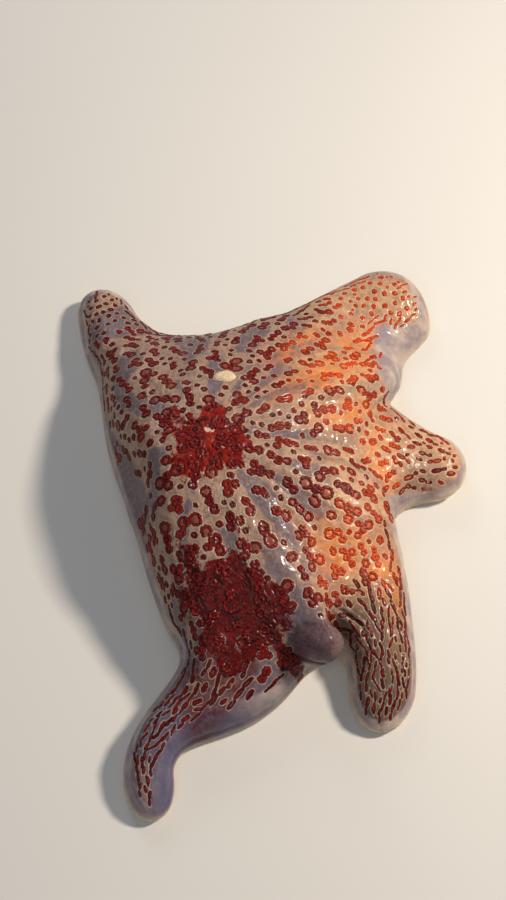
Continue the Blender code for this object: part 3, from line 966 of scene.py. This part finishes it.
def fold_relief(points):
    """The furrow round the bare fold and the wrinkles towards the third arm."""
    r = lump_distance(points)
    furrow = -0.9 * overhang(points) * np.exp(-((r - 1.10) / 0.08) ** 2)
    beside = smooth(2.0, 9.0, points[:, 0] - LUMP_MIDDLE[0])
    wrinkles = np.sin(2 * np.pi * (r - 1.0) / 0.24) * smooth(1.1, 1.3, r) * (1 - smooth(1.8, 2.3, r))
    return furrow + 0.45 * beside * wrinkles


def lip(v, upper):
    """Share of the flared lip along the margin."""
    return np.where(upper, smooth(0.988, 1.0, v), smooth(0.90, 1.0, v))


def under_relief(points, rho, theta, v):
    """Depth into the underside: grooves, mouth, and shallow furrows between the plates."""
    _, s, d = nearest_arm(rho, theta)
    groove = groove_share(rho, theta)
    depth = np.maximum(groove * groove_depth(s), MOUTH_DEPTH * mouth_share(rho))
    chevron = np.sin(2 * np.pi * (s * 0.8 + np.abs(d) * 0.9) / 4.6) * np.sin(2 * np.pi * np.abs(d) / 5.2)
    plates = PLATE_FURROW * chevron * (1 - groove) * (1 - mouth_share(rho)) * (1 - smooth(0.9, 0.97, v))
    return depth + plates + 0.1 * waves(points, 3.4, 8)


def mesh_object(name, verts, faces):
    """A smooth-shaded object from vertices in millimetres."""
    mesh = bpy.data.meshes.new(name)
    mesh.from_pydata((np.asarray(verts, float) * MM).tolist(), [], faces)
    mesh.shade_smooth()
    made = bpy.data.objects.new(name, mesh)
    bpy.context.scene.collection.objects.link(made)
    return made


def vertex_normals(mesh):
    """The mesh's own normals at its vertices."""
    normals = np.zeros(len(mesh.vertices) * 3, np.float32)
    mesh.vertex_normals.foreach_get("vector", normals)
    return normals.reshape(-1, 3).astype(float)


NORMAL_STEP = 0.15     # half the distance over which a slope is taken


def form_normals(side, rho, theta):
    """Normals of the swollen upper side or underside, over steps of the same length everywhere."""
    flat = in_plane(rho, theta)

    def swollen(spot):
        return swell(side(np.abs(spot), np.degrees(np.angle(spot))))

    def across(step):
        return swollen(flat + step) - swollen(flat - step)

    normal = np.cross(across(NORMAL_STEP), across(1j * NORMAL_STEP))
    return normal / np.linalg.norm(normal, axis=-1, keepdims=True)


def add_attribute(mesh, name, values):
    """One number per vertex, under a name that a material can read."""
    layer = mesh.attributes.new(name, "FLOAT", "POINT")
    layer.data.foreach_set("value", np.asarray(values, np.float32))


TOP_CHART = (0.5, 0.645, 1.0, 0.71)     # centre, width and height of the upper side's chart
UNDER_CHART = (0.5, 0.145, 1.0, 0.28)
CHART_FILL = 0.985                      # share of it that is used


def add_charts(mesh, chart, top_face_count):
    """The texture map: the upper side unrolled over most of it, the underside below."""
    low = chart.real.min() + 1j * chart.imag.min()
    span = np.ptp(chart.real) + 1j * np.ptp(chart.imag)
    unit = (chart.real - low.real) / span.real + 1j * (chart.imag - low.imag) / span.imag
    corners = np.zeros(len(mesh.loops), np.int32)
    mesh.loops.foreach_get("vertex_index", corners)
    first_under = mesh.polygons[top_face_count].loop_start
    spots = np.zeros((len(corners), 2), np.float32)
    for part, (x, y, wide, high) in ((slice(None, first_under), TOP_CHART),
                                     (slice(first_under, None), UNDER_CHART)):
        mine = unit[corners[part]]
        spots[part, 0] = x + (mine.real - 0.5) * wide * CHART_FILL
        spots[part, 1] = y + (mine.imag - 0.5) * high * CHART_FILL
    layer = mesh.uv_layers.new(name="OFBake")
    layer.data.foreach_set("uv", spots.ravel())


def smooth_normals(mesh, rho, theta, v, upper):
    """Normals of the smooth body: exact ones, but the mesh's own round the margin."""
    normals = vertex_normals(mesh)
    inner = 1 - smooth(0.965, 0.99, v)[:, None]
    for side, mine, sign in ((upper_side, upper, 1), (underside, ~upper, -1)):
        exact = sign * form_normals(side, rho[mine], theta[mine])
        normals[mine] += (exact - normals[mine]) * inner[mine]
    return normals / np.linalg.norm(normals, axis=1, keepdims=True)


def lip_flare(normals, rho, theta, v, upper):
    """How far the margin's lip flares outward and down; it is calm near the webs."""
    level = normals * [1, 1, 0]
    level /= np.maximum(np.linalg.norm(level, axis=1, keepdims=True), 0.3)
    _, s, d = nearest_arm(rho, theta)
    from_web = rho * np.sin(np.radians(SECTOR / 2) - np.arctan2(np.abs(d), s))
    flare = lip(v, upper) * (0.35 + 0.65 * smooth(60, 85, s)) * smooth(1.0, 10.0, from_web)
    return flare[:, None] * (level * LIP_OUT + np.array([0, 0, -LIP_DOWN]))


def skin_shares(points, moved, rho, theta, v, upper):
    """Where each kind of colour lies on the skin, by the name that the material reads."""
    from_lump = lump_distance(points)
    fold = 1 - smooth(1.02, 1.22, from_lump)
    # Warmer towards the right-hand arms: partly pigment, partly painted sunlight on the lit side.
    warm_and_sunlit = smooth(-8, 48, moved[:, 0]) * smooth(-85, -25, moved[:, 1])
    base = base_blotch(rho, theta)
    above = dict(
        # The orange wash here is partly painted sun glow.
        # The slate blue here is painted shade.
        wash_and_sun_glow=orange_wash_and_sun_glow(rho, theta), wall=wall_share(rho, theta, v), blue_shade=blue_shade_share(rho, theta),
        stain=stain_share(rho, theta) * (1 - fold), dark_brown=dark_brown_share(rho, theta),
        # The orange of the papulae here is partly painted sunlight.
        orange_and_sunlit=orange_and_sunlit_share(rho, theta, warm_and_sunlit), fleck=fleck_share(rho, theta), deep=base, fold=fold,
        blotch=np.maximum(centre_blotch(rho, theta), base) * smooth(1.0, 1.2, from_lump),
        # Painted shadow along the crease under the fold's overhang.
        crease=overhang(points) * np.exp(-((from_lump - 1.22) / 0.16) ** 2))
    shares = {name: np.where(upper, share, 0) for name, share in above.items()}
    shares["warm_and_sunlit"] = warm_and_sunlit
    shares["lead"] = np.maximum(bare_web(rho, theta), lead_patches(rho, theta))
    shares["belly"] = np.where(upper, smooth(0.993, 1.0, v) * 0.5, 1.0)
    shares["groove"] = np.where(upper, 0, np.maximum(groove_share(rho, theta), mouth_share(rho)))
    return shares


def make_skin():
    """The whole skin: the smooth body, its relief along the normals, and the shares of its colours."""
    skin = make_grid()
    rho, theta = np.concatenate(skin.rho), turn(np.concatenate(skin.theta))
    upper, chart = np.concatenate(skin.upper), np.concatenate(skin.chart)
    v = np.clip(margin(rho, theta), 0, 1)
    points = swell(np.where(upper[:, None], upper_side(rho, theta), underside(rho, theta)))
    made = mesh_object("star_skin", points, skin.top_faces + skin.under_faces)
    normals = smooth_normals(made.data, rho, theta, v, upper)

    edge, tone, inside = np.full(len(points), FAR), np.full(len(points), 0.5), np.zeros(len(points))
    edge[upper], tone[upper], inside[upper] = papula_fields(points[upper], *grow_papulae())
    relief = np.zeros(len(points))
    relief[upper] = upper_relief(points[upper], rho[upper], theta[upper], v[upper], edge[upper])
    relief[upper] *= 1 - 0.85 * smooth(0.985, 1.0, v[upper])
    below = ~upper
    relief[below] = -under_relief(points[below], rho[below], theta[below], v[below])
    moved = points + normals * relief[:, None] + lip_flare(normals, rho, theta, v, upper)
    moved[:, 2] = np.maximum(moved[:, 2], np.where(upper, LEAST_RIM, 0.0))
    made.data.vertices.foreach_set("co", (moved * MM).astype(np.float32).ravel())
    made.data.update()

    shares = dict(edge=edge, tone=tone, inside=inside)
    shares.update(skin_shares(points, moved, rho, theta, v, upper))
    for name, share in shares.items():
        add_attribute(made.data, name, share)
    add_charts(made.data, chart, len(skin.top_faces))
    return made


# ================================================================ materials
def rgb(red, green, blue):
    """A colour given as 0 .. 255 on screen, as the linear colour that shaders take."""
    share = np.array([red, green, blue]) / 255
    linear = np.where(share <= 0.04045, share / 12.92, ((share + 0.055) / 1.055) ** 2.4)
    return (*linear, 1.0)


class Shader:
    """A material's node tree, built from short calls that return sockets."""

    def __init__(self, name):
        self.material = bpy.data.materials.new(name)
        self.material.use_nodes = True
        self.tree = self.material.node_tree
        self.principled = self.tree.nodes["Principled BSDF"]
        self.space = self.tree.nodes.new("ShaderNodeTexCoord").outputs["Object"]

    def feed(self, node, values):
        """Link or set a node's inputs."""
        for slot, value in values.items():
            if isinstance(value, bpy.types.NodeSocket):
                self.tree.links.new(value, node.inputs[slot])
            else:
                node.inputs[slot].default_value = value

    def node(self, kind, values, **settings):
        """A new node with its settings and inputs."""
        made = self.tree.nodes.new(kind)
        for key, value in settings.items():
            setattr(made, key, value)
        self.feed(made, values)
        return made

    def value(self, name):
        """An attribute of the mesh."""
        return self.node("ShaderNodeAttribute", {}, attribute_name=name).outputs["Fac"]

    def calc(self, operation, a, b=0.0):
        """The result of an operation on one or two values."""
        return self.node("ShaderNodeMath", {0: a, 1: b}, operation=operation).outputs[0]

    def step(self, value, start, end, low=0.0, high=1.0):
        """A smooth step from low at start to high at end."""
        values = {"Value": value, "From Min": start, "From Max": end, "To Min": low, "To Max": high}
        made = self.node("ShaderNodeMapRange", values, interpolation_type="SMOOTHSTEP")
        return made.outputs["Result"]

    def noise(self, size_mm, detail=2.0, roughness=0.5):
        """Noise from 0 to 1 whose blobs are about that size."""
        values = {"Vector": self.space, "Scale": 1 / (size_mm * MM), "Detail": detail,
                  "Roughness": roughness}
        return self.node("ShaderNodeTexNoise", values).outputs["Fac"]

    def mix(self, share, a, b):
        """Colour a where the share is 0, colour b where it is 1."""
        return self.node("ShaderNodeMix", {0: share, 6: a, 7: b}, data_type="RGBA").outputs[2]

    def over(self, ground, share, most, colour):
        """A colour laid over the ground by a share of at most that much."""
        return self.mix(self.calc("MULTIPLY", share, most), ground, colour)

    def bump(self, height, distance_mm, strength=1.0, normal=None):
        """A normal that shows fine relief, over another one where that is given."""
        values = {"Height": height, "Distance": distance_mm * MM, "Strength": strength}
        if normal is not None:
            values["Normal"] = normal
        return self.node("ShaderNodeBump", values).outputs["Normal"]

    def finish(self, colour, roughness, normal, **settings):
        """The material; settings name further inputs, such as coat_weight."""
        self.feed(self.principled, {"Base Color": colour, "Roughness": roughness, "Normal": normal})
        self.feed(self.principled, {key.replace("_", " ").title().replace("Ior", "IOR"): value
                                    for key, value in settings.items()})
        return self.material


# The pink ground goes on the right-hand arms, partly as painted sunlight.
SKIN_TAN, SKIN_PINK = rgb(164, 134, 115), rgb(196, 155, 120)
SKIN_LEAD, SKIN_GRAIN = rgb(102, 91, 103), rgb(78, 54, 48)
# The slate blue on this line is painted shade.
SHADE_SLATE_BLUE, SKIN_DARK_BROWN, SKIN_STAIN = rgb(68, 68, 104), rgb(96, 74, 50), rgb(84, 34, 30)
# The crease colour is a painted shadow.
FOLD_MAUVE, FOLD_BROWN, CREASE_SHADOW = rgb(106, 84, 92), rgb(86, 58, 52), rgb(46, 24, 26)
# The wash orange is partly pigment, partly painted sun glow.
WASH_AND_SUN_GLOW = rgb(228, 130, 36)
PALE_RING, VEIN, FLECK = rgb(208, 184, 160), rgb(188, 162, 142), rgb(216, 178, 156)
MAROON_EDGE, MAROON_MIDDLE = rgb(32, 1, 2), rgb(128, 10, 5)
# The orange papula and hollow colours are partly painted sunlight.
ORANGE_EDGE, ORANGE_MIDDLE = rgb(156, 34, 6), rgb(212, 86, 24)
PAPULA_GLINT = rgb(206, 140, 116)
HOLLOW_DARK, HOLLOW_WARM = rgb(126, 48, 38), rgb(220, 112, 50)
BLOTCH_DARK, BLOTCH_RED, BLOTCH_DEEP = rgb(48, 2, 3), rgb(124, 13, 7), rgb(38, 6, 6)
BLOTCH_ORANGE, BLOTCH_GLINT = rgb(160, 40, 14), rgb(170, 62, 38)
WALL_LILAC, WALL_PALE = rgb(142, 128, 132), rgb(182, 163, 151)
BELLY_CREAM, BELLY_SAND, GROOVE_BUFF = rgb(222, 205, 170), rgb(206, 182, 150), rgb(196, 160, 112)
LIMY_WHITE, LIMY_BUFF, LIMY_GROOVE = rgb(240, 222, 190), rgb(222, 198, 160), rgb(186, 156, 118)
FOOT_AMBER, FOOT_PALE = rgb(214, 168, 104), rgb(232, 204, 150)
SPINE_CREAM, SPINE_BUFF = rgb(226, 210, 178), rgb(204, 180, 142)
FLOOR_LIGHT, FLOOR_DIM = rgb(222, 219, 213), rgb(214, 211, 205)


def ground_colour(s, edge, warm_and_sunlit):
    """The skin between the papulae: tan and lead, with the zones of every arm."""
    # Tan to pink, with fewer grey patches, towards the right-hand arms: partly pigment, partly painted
    # sunlight.
    ground = s.mix(warm_and_sunlit, SKIN_TAN, SKIN_PINK)
    patches = s.calc("ADD", s.value("lead"), s.step(s.noise(4.5, 4.0, 0.6), 0.25, 0.75, -0.45, 0.45))
    patches = s.calc("MULTIPLY", s.step(patches, 0.2, 0.8), s.step(warm_and_sunlit, 0.0, 1.0, 0.85, 0.30))
    ground = s.mix(patches, ground, SKIN_LEAD)
    ground = s.mix(s.step(s.noise(2.6, 4.0, 0.65), 0.38, 0.70, 0.0, 0.45), ground, SKIN_GRAIN)
    ground = s.mix(s.step(s.noise(0.45, 2.0), 0.52, 0.72, 0.0, 0.30), ground, SKIN_GRAIN)
    vein = s.step(s.calc("ABSOLUTE", s.calc("SUBTRACT", s.noise(3.4, 2.0, 0.5), 0.5)), 0.035, 0.008)
    ground = s.over(ground, vein, 0.15, VEIN)
    # The orange wash, partly painted sun glow, broken up by noise.
    wash_and_sun_glow = s.calc("MULTIPLY", s.value("wash_and_sun_glow"), s.step(s.noise(6.0, 4.0, 0.6), 0.30, 0.58))
    wash_and_sun_glow = s.calc("MULTIPLY", wash_and_sun_glow, s.step(s.noise(1.8, 4.0, 0.7), 0.34, 0.60, 0.45, 1.0))
    ground = s.over(ground, s.value("dark_brown"), 0.72, SKIN_DARK_BROWN)
    ground = s.over(ground, wash_and_sun_glow, 0.85, WASH_AND_SUN_GLOW)
    wall_colour = s.mix(s.step(s.noise(9.0, 3.0), 0.35, 0.65), WALL_LILAC, WALL_PALE)
    ground = s.mix(s.value("wall"), ground, wall_colour)
    # Painted blue shade over the fourth arm.
    ground = s.over(ground, s.value("blue_shade"), 0.85, SHADE_SLATE_BLUE)
    stain = s.calc("MULTIPLY", s.value("stain"), s.step(s.noise(3.2, 5.0, 0.7), 0.30, 0.62, 0.25, 0.9))
    ground = s.mix(stain, ground, SKIN_STAIN)
    fold_colour = s.mix(s.step(s.noise(1.3, 4.0, 0.7), 0.36, 0.66), FOLD_MAUVE, FOLD_BROWN)
    ground = s.over(ground, s.value("fold"), 0.9, fold_colour)
    # Painted shadow in the crease under the fold's overhang.
    ground = s.over(ground, s.value("crease"), 0.8, CREASE_SHADOW)
    rim = s.calc("MULTIPLY", s.step(edge, 0.06, 0.22), s.step(edge, 0.62, 0.34))
    ground = s.over(ground, rim, 0.42, PALE_RING)
    # Ring hollows turn orange with the papulae, partly as painted sunlight.
    hollow = s.mix(s.step(s.value("orange_and_sunlit"), 0.0, 0.8), HOLLOW_DARK, HOLLOW_WARM)
    return s.over(ground, s.value("inside"), 0.85, hollow)


def blotch_colour(s, ground, fine):
    """The ground with the solid dark red patches, and the pale fleck in the disc's middle."""
    blotch = s.calc("ADD", s.value("blotch"), s.step(s.noise(4.2, 5.0, 0.7), 0.28, 0.72, -0.46, 0.46))
    blotch = s.step(blotch, 0.40, 0.60)
    deep = s.value("deep")
    red = s.mix(s.step(s.noise(2.6, 5.0, 0.7), 0.34, 0.62), BLOTCH_DARK, BLOTCH_RED)
    orange = s.step(s.noise(5.0, 3.0, 0.6), 0.46, 0.66, 0.0, 0.55)
    red = s.over(red, orange, s.step(deep, 0.6, 0.1), BLOTCH_ORANGE)
    red = s.over(red, deep, 0.45, BLOTCH_DEEP)
    red = s.mix(s.step(fine, 0.60, 0.76, 0.0, 0.25), red, BLOTCH_GLINT)
    ground = s.mix(blotch, ground, red)
    fleck = s.calc("ADD", s.value("fleck"), s.step(s.noise(1.6, 3.0, 0.6), 0.25, 0.75, -0.5, 0.5))
    return s.mix(s.step(fleck, 0.42, 0.75, 0.0, 0.85), ground, FLECK)


def papula_colour(s, edge, fine):
    """Maroon to orange, darker at a papula's edge, with painted glints; the orange is partly pigment, partly
    painted sunlight.
    """
    brighter = s.calc("ADD", s.value("orange_and_sunlit"), s.step(s.value("tone"), 0.0, 1.0, -0.18, 0.18))
    brighter = s.step(brighter, 0.0, 1.0)
    dark = s.mix(brighter, MAROON_EDGE, ORANGE_EDGE)
    light = s.mix(brighter, MAROON_MIDDLE, ORANGE_MIDDLE)
    papula = s.mix(s.step(edge, -0.12, -0.52), dark, light)
    return s.mix(s.step(fine, 0.62, 0.78, 0.0, 0.35), papula, PAPULA_GLINT)


def skin_material():
    """The wet skin: ground, blotches and papulae above, cream plates below."""
    s = Shader("spotted_wet_skin")
    fine = s.noise(0.5, 3.0)
    edge = s.calc("ADD", s.value("edge"), s.step(fine, 0.2, 0.8, -0.16, 0.16))
    # The warmth of the right-hand arms, partly painted sunlight, made uneven with noise.
    warm_and_sunlit = s.calc("ADD", s.value("warm_and_sunlit"), s.step(s.noise(14.0, 3.0), 0.2, 0.8, -0.3, 0.3))
    ground = blotch_colour(s, ground_colour(s, edge, s.step(warm_and_sunlit, 0.1, 0.9)), fine)
    colour = s.mix(s.step(edge, 0.10, -0.06), ground, papula_colour(s, edge, fine))
    belly = s.mix(s.step(s.noise(3.0, 3.0), 0.35, 0.7), BELLY_CREAM, BELLY_SAND)
    belly = s.mix(s.value("groove"), belly, GROOVE_BUFF)
    colour = s.mix(s.value("belly"), colour, belly)

    roughness = s.step(s.noise(2.2, 3.0), 0.3, 0.7, 0.34, 0.55)
    grain = s.bump(s.noise(0.40, 3.0, 0.6), 0.10, 0.55)
    grain = s.bump(s.noise(1.5, 3.0), 0.18, 0.5, grain)
    return s.finish(colour, roughness, grain, subsurface_weight=0.08, subsurface_scale=0.0012,
                    coat_weight=0.20, coat_roughness=0.09, specular_ior_level=0.10)


def plate_material():
    """Limy cream, darker in the winding grooves."""
    s = Shader("sieve_plate_limy")
    colour = s.mix(s.noise(1.2, 3.0), LIMY_WHITE, LIMY_BUFF)
    colour = s.mix(s.value("groove"), colour, LIMY_GROOVE)
    grain = s.bump(s.noise(0.25, 2.0), 0.06, 0.5)
    return s.finish(colour, s.step(s.noise(0.9), 0.3, 0.7, 0.35, 0.6), grain, coat_weight=0.3,
                    coat_roughness=0.2)


def feet_material():
    """Amber flesh, slightly see-through."""
    s = Shader("tube_feet_amber")
    colour = s.mix(s.step(s.noise(1.5, 2.0), 0.35, 0.65), FOOT_AMBER, FOOT_PALE)
    grain = s.bump(s.noise(0.3, 2.0), 0.05, 0.5)
    return s.finish(colour, s.step(s.noise(1.0), 0.3, 0.7, 0.3, 0.5), grain, subsurface_weight=0.2,
                    subsurface_scale=0.001)


def spine_material():
    """Dull cream lime."""
    s = Shader("spines_cream")
    colour = s.mix(s.step(s.noise(0.8, 2.0), 0.35, 0.65), SPINE_CREAM, SPINE_BUFF)
    grain = s.bump(s.noise(0.25, 2.0), 0.05, 0.5)
    return s.finish(colour, s.step(s.noise(0.7), 0.3, 0.7, 0.4, 0.6), grain)


# ================================================================ small parts
class Pile:
    """Many small closed shapes joined into one mesh."""

    def __init__(self):
        self.verts, self.faces = [], []

    def tube(self, points, radii, sides=8):
        """A round closed tube through the points, one ring each."""
        points = np.asarray(points, float)
        ahead = points[-1] - points[0]
        ahead /= np.linalg.norm(ahead)
        helper = np.array([1.0, 0, 0]) if abs(ahead[0]) < 0.8 else np.array([0, 1.0, 0])
        left = np.cross(ahead, helper)
        left /= np.linalg.norm(left)
        up = np.cross(ahead, left)
        angle = np.arange(sides) * 2 * np.pi / sides
        first = len(self.verts)
        for point, radius in zip(points, radii):
            self.verts.extend(point + radius * (np.cos(angle)[:, None] * left + np.sin(angle)[:, None] * up))
        for ring in range(len(points) - 1):
            for k in range(sides):
                a, b = first + ring * sides + k, first + ring * sides + (k + 1) % sides
                self.faces.append([a, b, b + sides, a + sides])
        last = first + (len(points) - 1) * sides
        self.faces.append(list(range(first, first + sides))[::-1])
        self.faces.append(list(range(last, last + sides)))


FLOOR_CLEAR = 0.12                  # the feet end this far above the floor
FOOT_FROM, FOOT_TO, FOOT_PITCH = 9.0, 123.0, 2.3       # the files of feet along an arm
FOOT_LENGTH = (5.0, 7.0)
FOOT_BESIDE = 1.15                  # distance of a large foot from the groove's middle
FOOT_SMALLER = 0.55                 # how much smaller a foot at an arm's end is
FOOT_WIDER = 1.15
FOOT_LEAN, FOOT_SIDES = 0.22, 9
FOOT_PROFILE = ((0.0, 0.62), (0.25, 0.55), (0.55, 0.46), (0.80, 0.42), (0.90, 0.62), (1.0, 0.66))
SPINE_FROM, SPINE_TO, SPINE_PITCH = 8.0, 126.0, 2.1    # the rows of spines along an arm
SPINE_ROWS = (0.0, 0.75)
SPINE_THICK, SPINE_SIDES = 0.36, 7
ROOT_ABOVE, TIP_ABOVE = 0.40, 0.30  # least heights of a spine's ends above the floor


def under_point(number, s, d, height):
    """A point at a height above the flat body's underside, carried to the pose."""
    rho, theta = polar(number, s, d)
    return place(rho, theta, height)


def make_tube_feet():
    """Two files of tube feet in every groove, hanging to the floor where it is near."""
    pile = Pile()
    random = np.random.default_rng(5)
    for number in range(len(ARMS)):
        for s in np.arange(FOOT_FROM, FOOT_TO, FOOT_PITCH):
            for side in (-1, 1):
                at = s + (FOOT_PITCH / 2 if side > 0 else 0) + random.uniform(-0.3, 0.3)
                size = FOOT_WIDER - FOOT_SMALLER * at / REACH
                root = under_point(number, at, side * FOOT_BESIDE * size, groove_depth(at) + 0.3)
                drop = min(root[2] - FLOOR_CLEAR, random.uniform(*FOOT_LENGTH) * size)
                lean = random.uniform(-0.5, 0.5, 2) * drop * FOOT_LEAN
                tip = root + np.array([lean[0], lean[1], -drop])
                bend = np.array([*(random.uniform(-0.2, 0.2, 2) * drop), 0])
                points = [root + (tip - root) * t + bend * np.sin(np.pi * t) * 0.5 for t, _ in FOOT_PROFILE]
                radii = [radius * size * FOOT_WIDER for _, radius in FOOT_PROFILE]
                pile.tube(points, radii, FOOT_SIDES)
    return mesh_object("tube_feet", pile.verts, pile.faces)


def make_groove_spines():
    """Blunt little spines that lean over both edges of the grooves, and larger ones at the mouth."""
    pile = Pile()
    random = np.random.default_rng(6)
    for number in range(len(ARMS)):
        for s in np.arange(SPINE_FROM, SPINE_TO, SPINE_PITCH):
            for side in (-1, 1):
                for row in SPINE_ROWS:
                    at = s + row * 0.7 + random.uniform(-0.15, 0.15)
                    half = groove_half(at)
                    big = 1.5 - 0.9 * smooth(6, 30, at) - 0.25 * smooth(60, 130, at)
                    root = under_point(number, at, side * (1.18 + 0.1 * row) * half, 0.25)
                    tip = under_point(number, at, side * (0.62 + 0.55 * row) * half, -0.35 * big - 0.25)
                    root[2], tip[2] = max(root[2], ROOT_ABOVE), max(tip[2], TIP_ABOVE)
                    middle = (root + tip) / 2
                    thick = SPINE_THICK * big
                    pile.tube([root, middle, root + 0.93 * (tip - root), tip],
                              [thick, thick, 0.8 * thick, 0.35 * thick], SPINE_SIDES)
    return mesh_object("groove_spines", pile.verts, pile.faces)


PLATE_RINGS, PLATE_SIDES = 46, 150
PLATE_SUNK = 0.9                    # the plate's edge goes this far into the skin
PLATE_GROOVE, PLATE_STRIPE = 0.17, 0.80                # depth and spacing of its winding grooves


def make_sieve_plate():
    """The madreporite: a low oval limy cushion with winding grooves."""
    size = MADREPORITE
    ahead = np.array([size["rho"] + 1.0]), np.array([size["theta"]])
    spot, out, aside, normal = (part[0] for part in surface_frame(
        np.array([size["rho"]]), np.array([size["theta"]]), *ahead))
    angle = np.radians(size["turn"])
    long_way = aside * np.cos(angle) + out * np.sin(angle)
    short_way = out * np.cos(angle) - aside * np.sin(angle)
    rings, sides = PLATE_RINGS, PLATE_SIDES
    t = np.linspace(0, 1, rings + 1)[1:, None]
    a = np.arange(sides)[None, :] * 2 * np.pi / sides
    wobble = 1 + 0.035 * np.cos(3 * a + 0.6) + 0.02 * np.cos(5 * a + 2.0)
    x = t * wobble * np.cos(a) * size["length"] / 2
    y = t * wobble * np.sin(a) * size["width"] / 2
    x, y = np.append(x.ravel(), 0.0), np.append(y.ravel(), 0.0)
    far = np.append(np.repeat(t, sides), 0.0)
    flat = np.stack([x, y, 0 * x], 1)
    winding = labyrinth(flat, PLATE_STRIPE, 12)
    groove = smooth(-0.15, 0.35, winding) * (1 - smooth(0.86, 0.97, far))
    cushion = (size["height"] + PLATE_SUNK) * (1 - far ** 3.4) ** 0.5
    height = -PLATE_SUNK + cushion - PLATE_GROOVE * groove
    verts = spot + x[:, None] * long_way + y[:, None] * short_way + height[:, None] * normal
    faces = []
    for ring in range(rings - 1):
        for k in range(sides):
            one, two = ring * sides + k, ring * sides + (k + 1) % sides
            faces.append([one, one + sides, two + sides, two])
    centre = rings * sides
    faces += [[centre, k, (k + 1) % sides] for k in range(sides)]
    made = mesh_object("sieve_plate", verts, faces)
    add_attribute(made.data, "groove", groove)
    return made


def labyrinth(points, length, seed, count=14):
    """Winding stripes: plane waves of one length in many directions."""
    random = np.random.default_rng(seed)
    angle = np.pi * (np.arange(count) + random.uniform(0, 1, count)) / count
    total = np.zeros(len(points))
    for k in range(count):
        way = np.array([np.cos(angle[k]), np.sin(angle[k]), 0])
        total += np.sin(points @ way * 2 * np.pi / length + random.uniform(0, 2 * np.pi))
    return total * np.sqrt(2 / count)


# ================================================================ stage
CAMERA_AIM = Vector((-6.0, 27.3, 20.0)) * MM
CAMERA_AWAY = 619 * MM
CAMERA_UP = 61.0         # degrees above the horizon
FIELD_OF_VIEW = 36.0     # degrees, over the picture's height
SENSOR = 36.0
# Each light: where it stands and where it aims, in metres, its size, its watts and its colour.
LIGHTS = {
    "key": ((0.60, 0.18, 0.62), (0.02, 0.0, 0.02), 0.12, 8.4, (1.0, 0.89, 0.76)),
    "soft": ((-0.35, -0.65, 0.95), (0, 0, 0), 0.8, 2.2, (0.92, 0.95, 1.0)),
    "rim": ((-0.3, 0.8, 0.55), (0, 0.02, 0.02), 0.4, 1.6, (0.95, 0.97, 1.0)),
}
SKY, SKY_STRENGTH = (0.86, 0.90, 1.0, 1), 0.17
FLOOR_HALF, FLOOR_DROP = 3.0, 0.0002       # metres: half the floor's side, and its gap to z = 0


def make_camera():
    """The camera, in front of the starfish and looking down at it."""
    data = bpy.data.cameras.new("camera")
    data.sensor_width = SENSOR
    data.lens = SENSOR / 2 / np.tan(np.radians(FIELD_OF_VIEW / 2))
    camera = bpy.data.objects.new("camera", data)
    bpy.context.scene.collection.objects.link(camera)
    up = np.radians(CAMERA_UP)
    back = Vector((0, -np.cos(up), np.sin(up)))
    camera.location = CAMERA_AIM + back * CAMERA_AWAY
    camera.rotation_euler = (-back).to_track_quat("-Z", "Y").to_euler()
    bpy.context.scene.camera = camera


def make_light(name, place_m, aim_m, size, watts, colour):
    """A round lamp that aims at a place."""
    data = bpy.data.lights.new(name, "AREA")
    data.shape, data.size, data.energy, data.color = "DISK", size, watts, colour
    light = bpy.data.objects.new(name, data)
    bpy.context.scene.collection.objects.link(light)
    light.location = place_m
    light.rotation_euler = (Vector(aim_m) - Vector(place_m)).to_track_quat("-Z", "Y").to_euler()


def make_stage():
    """The pale floor, the sky and the lights."""
    floor = bpy.data.meshes.new("floor")
    half = FLOOR_HALF
    floor.from_pydata([(-half, -half, 0), (half, -half, 0), (half, half, 0), (-half, half, 0)], [],
                      [(0, 1, 2, 3)])
    plane = bpy.data.objects.new("floor", floor)
    bpy.context.scene.collection.objects.link(plane)
    plane.location.z = -FLOOR_DROP
    s = Shader("floor_pale")
    colour = s.mix(s.noise(400.0), FLOOR_LIGHT, FLOOR_DIM)
    plane.data.materials.append(s.finish(colour, 0.75, s.bump(s.noise(2.0), 0.05, 0.2)))
    world = bpy.data.worlds.new("studio")
    world.use_nodes = True
    background = world.node_tree.nodes["Background"]
    background.inputs["Color"].default_value = SKY
    background.inputs["Strength"].default_value = SKY_STRENGTH
    bpy.context.scene.world = world
    for name, settings in LIGHTS.items():
        make_light(name, *settings)


def main():
    skin = make_skin()
    skin.data.materials.append(skin_material())
    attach(skin, "root")
    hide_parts("disc", *ARMS)
    plate = make_sieve_plate()
    plate.data.materials.append(plate_material())
    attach(plate, "root")
    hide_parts("madreporite")
    for piece, material in ((make_tube_feet(), feet_material()), (make_groove_spines(), spine_material())):
        piece.data.materials.append(material)
        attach(piece, "root")
    make_camera()
    make_stage()
    bpy.context.scene.view_settings.view_transform = "Standard"


main()
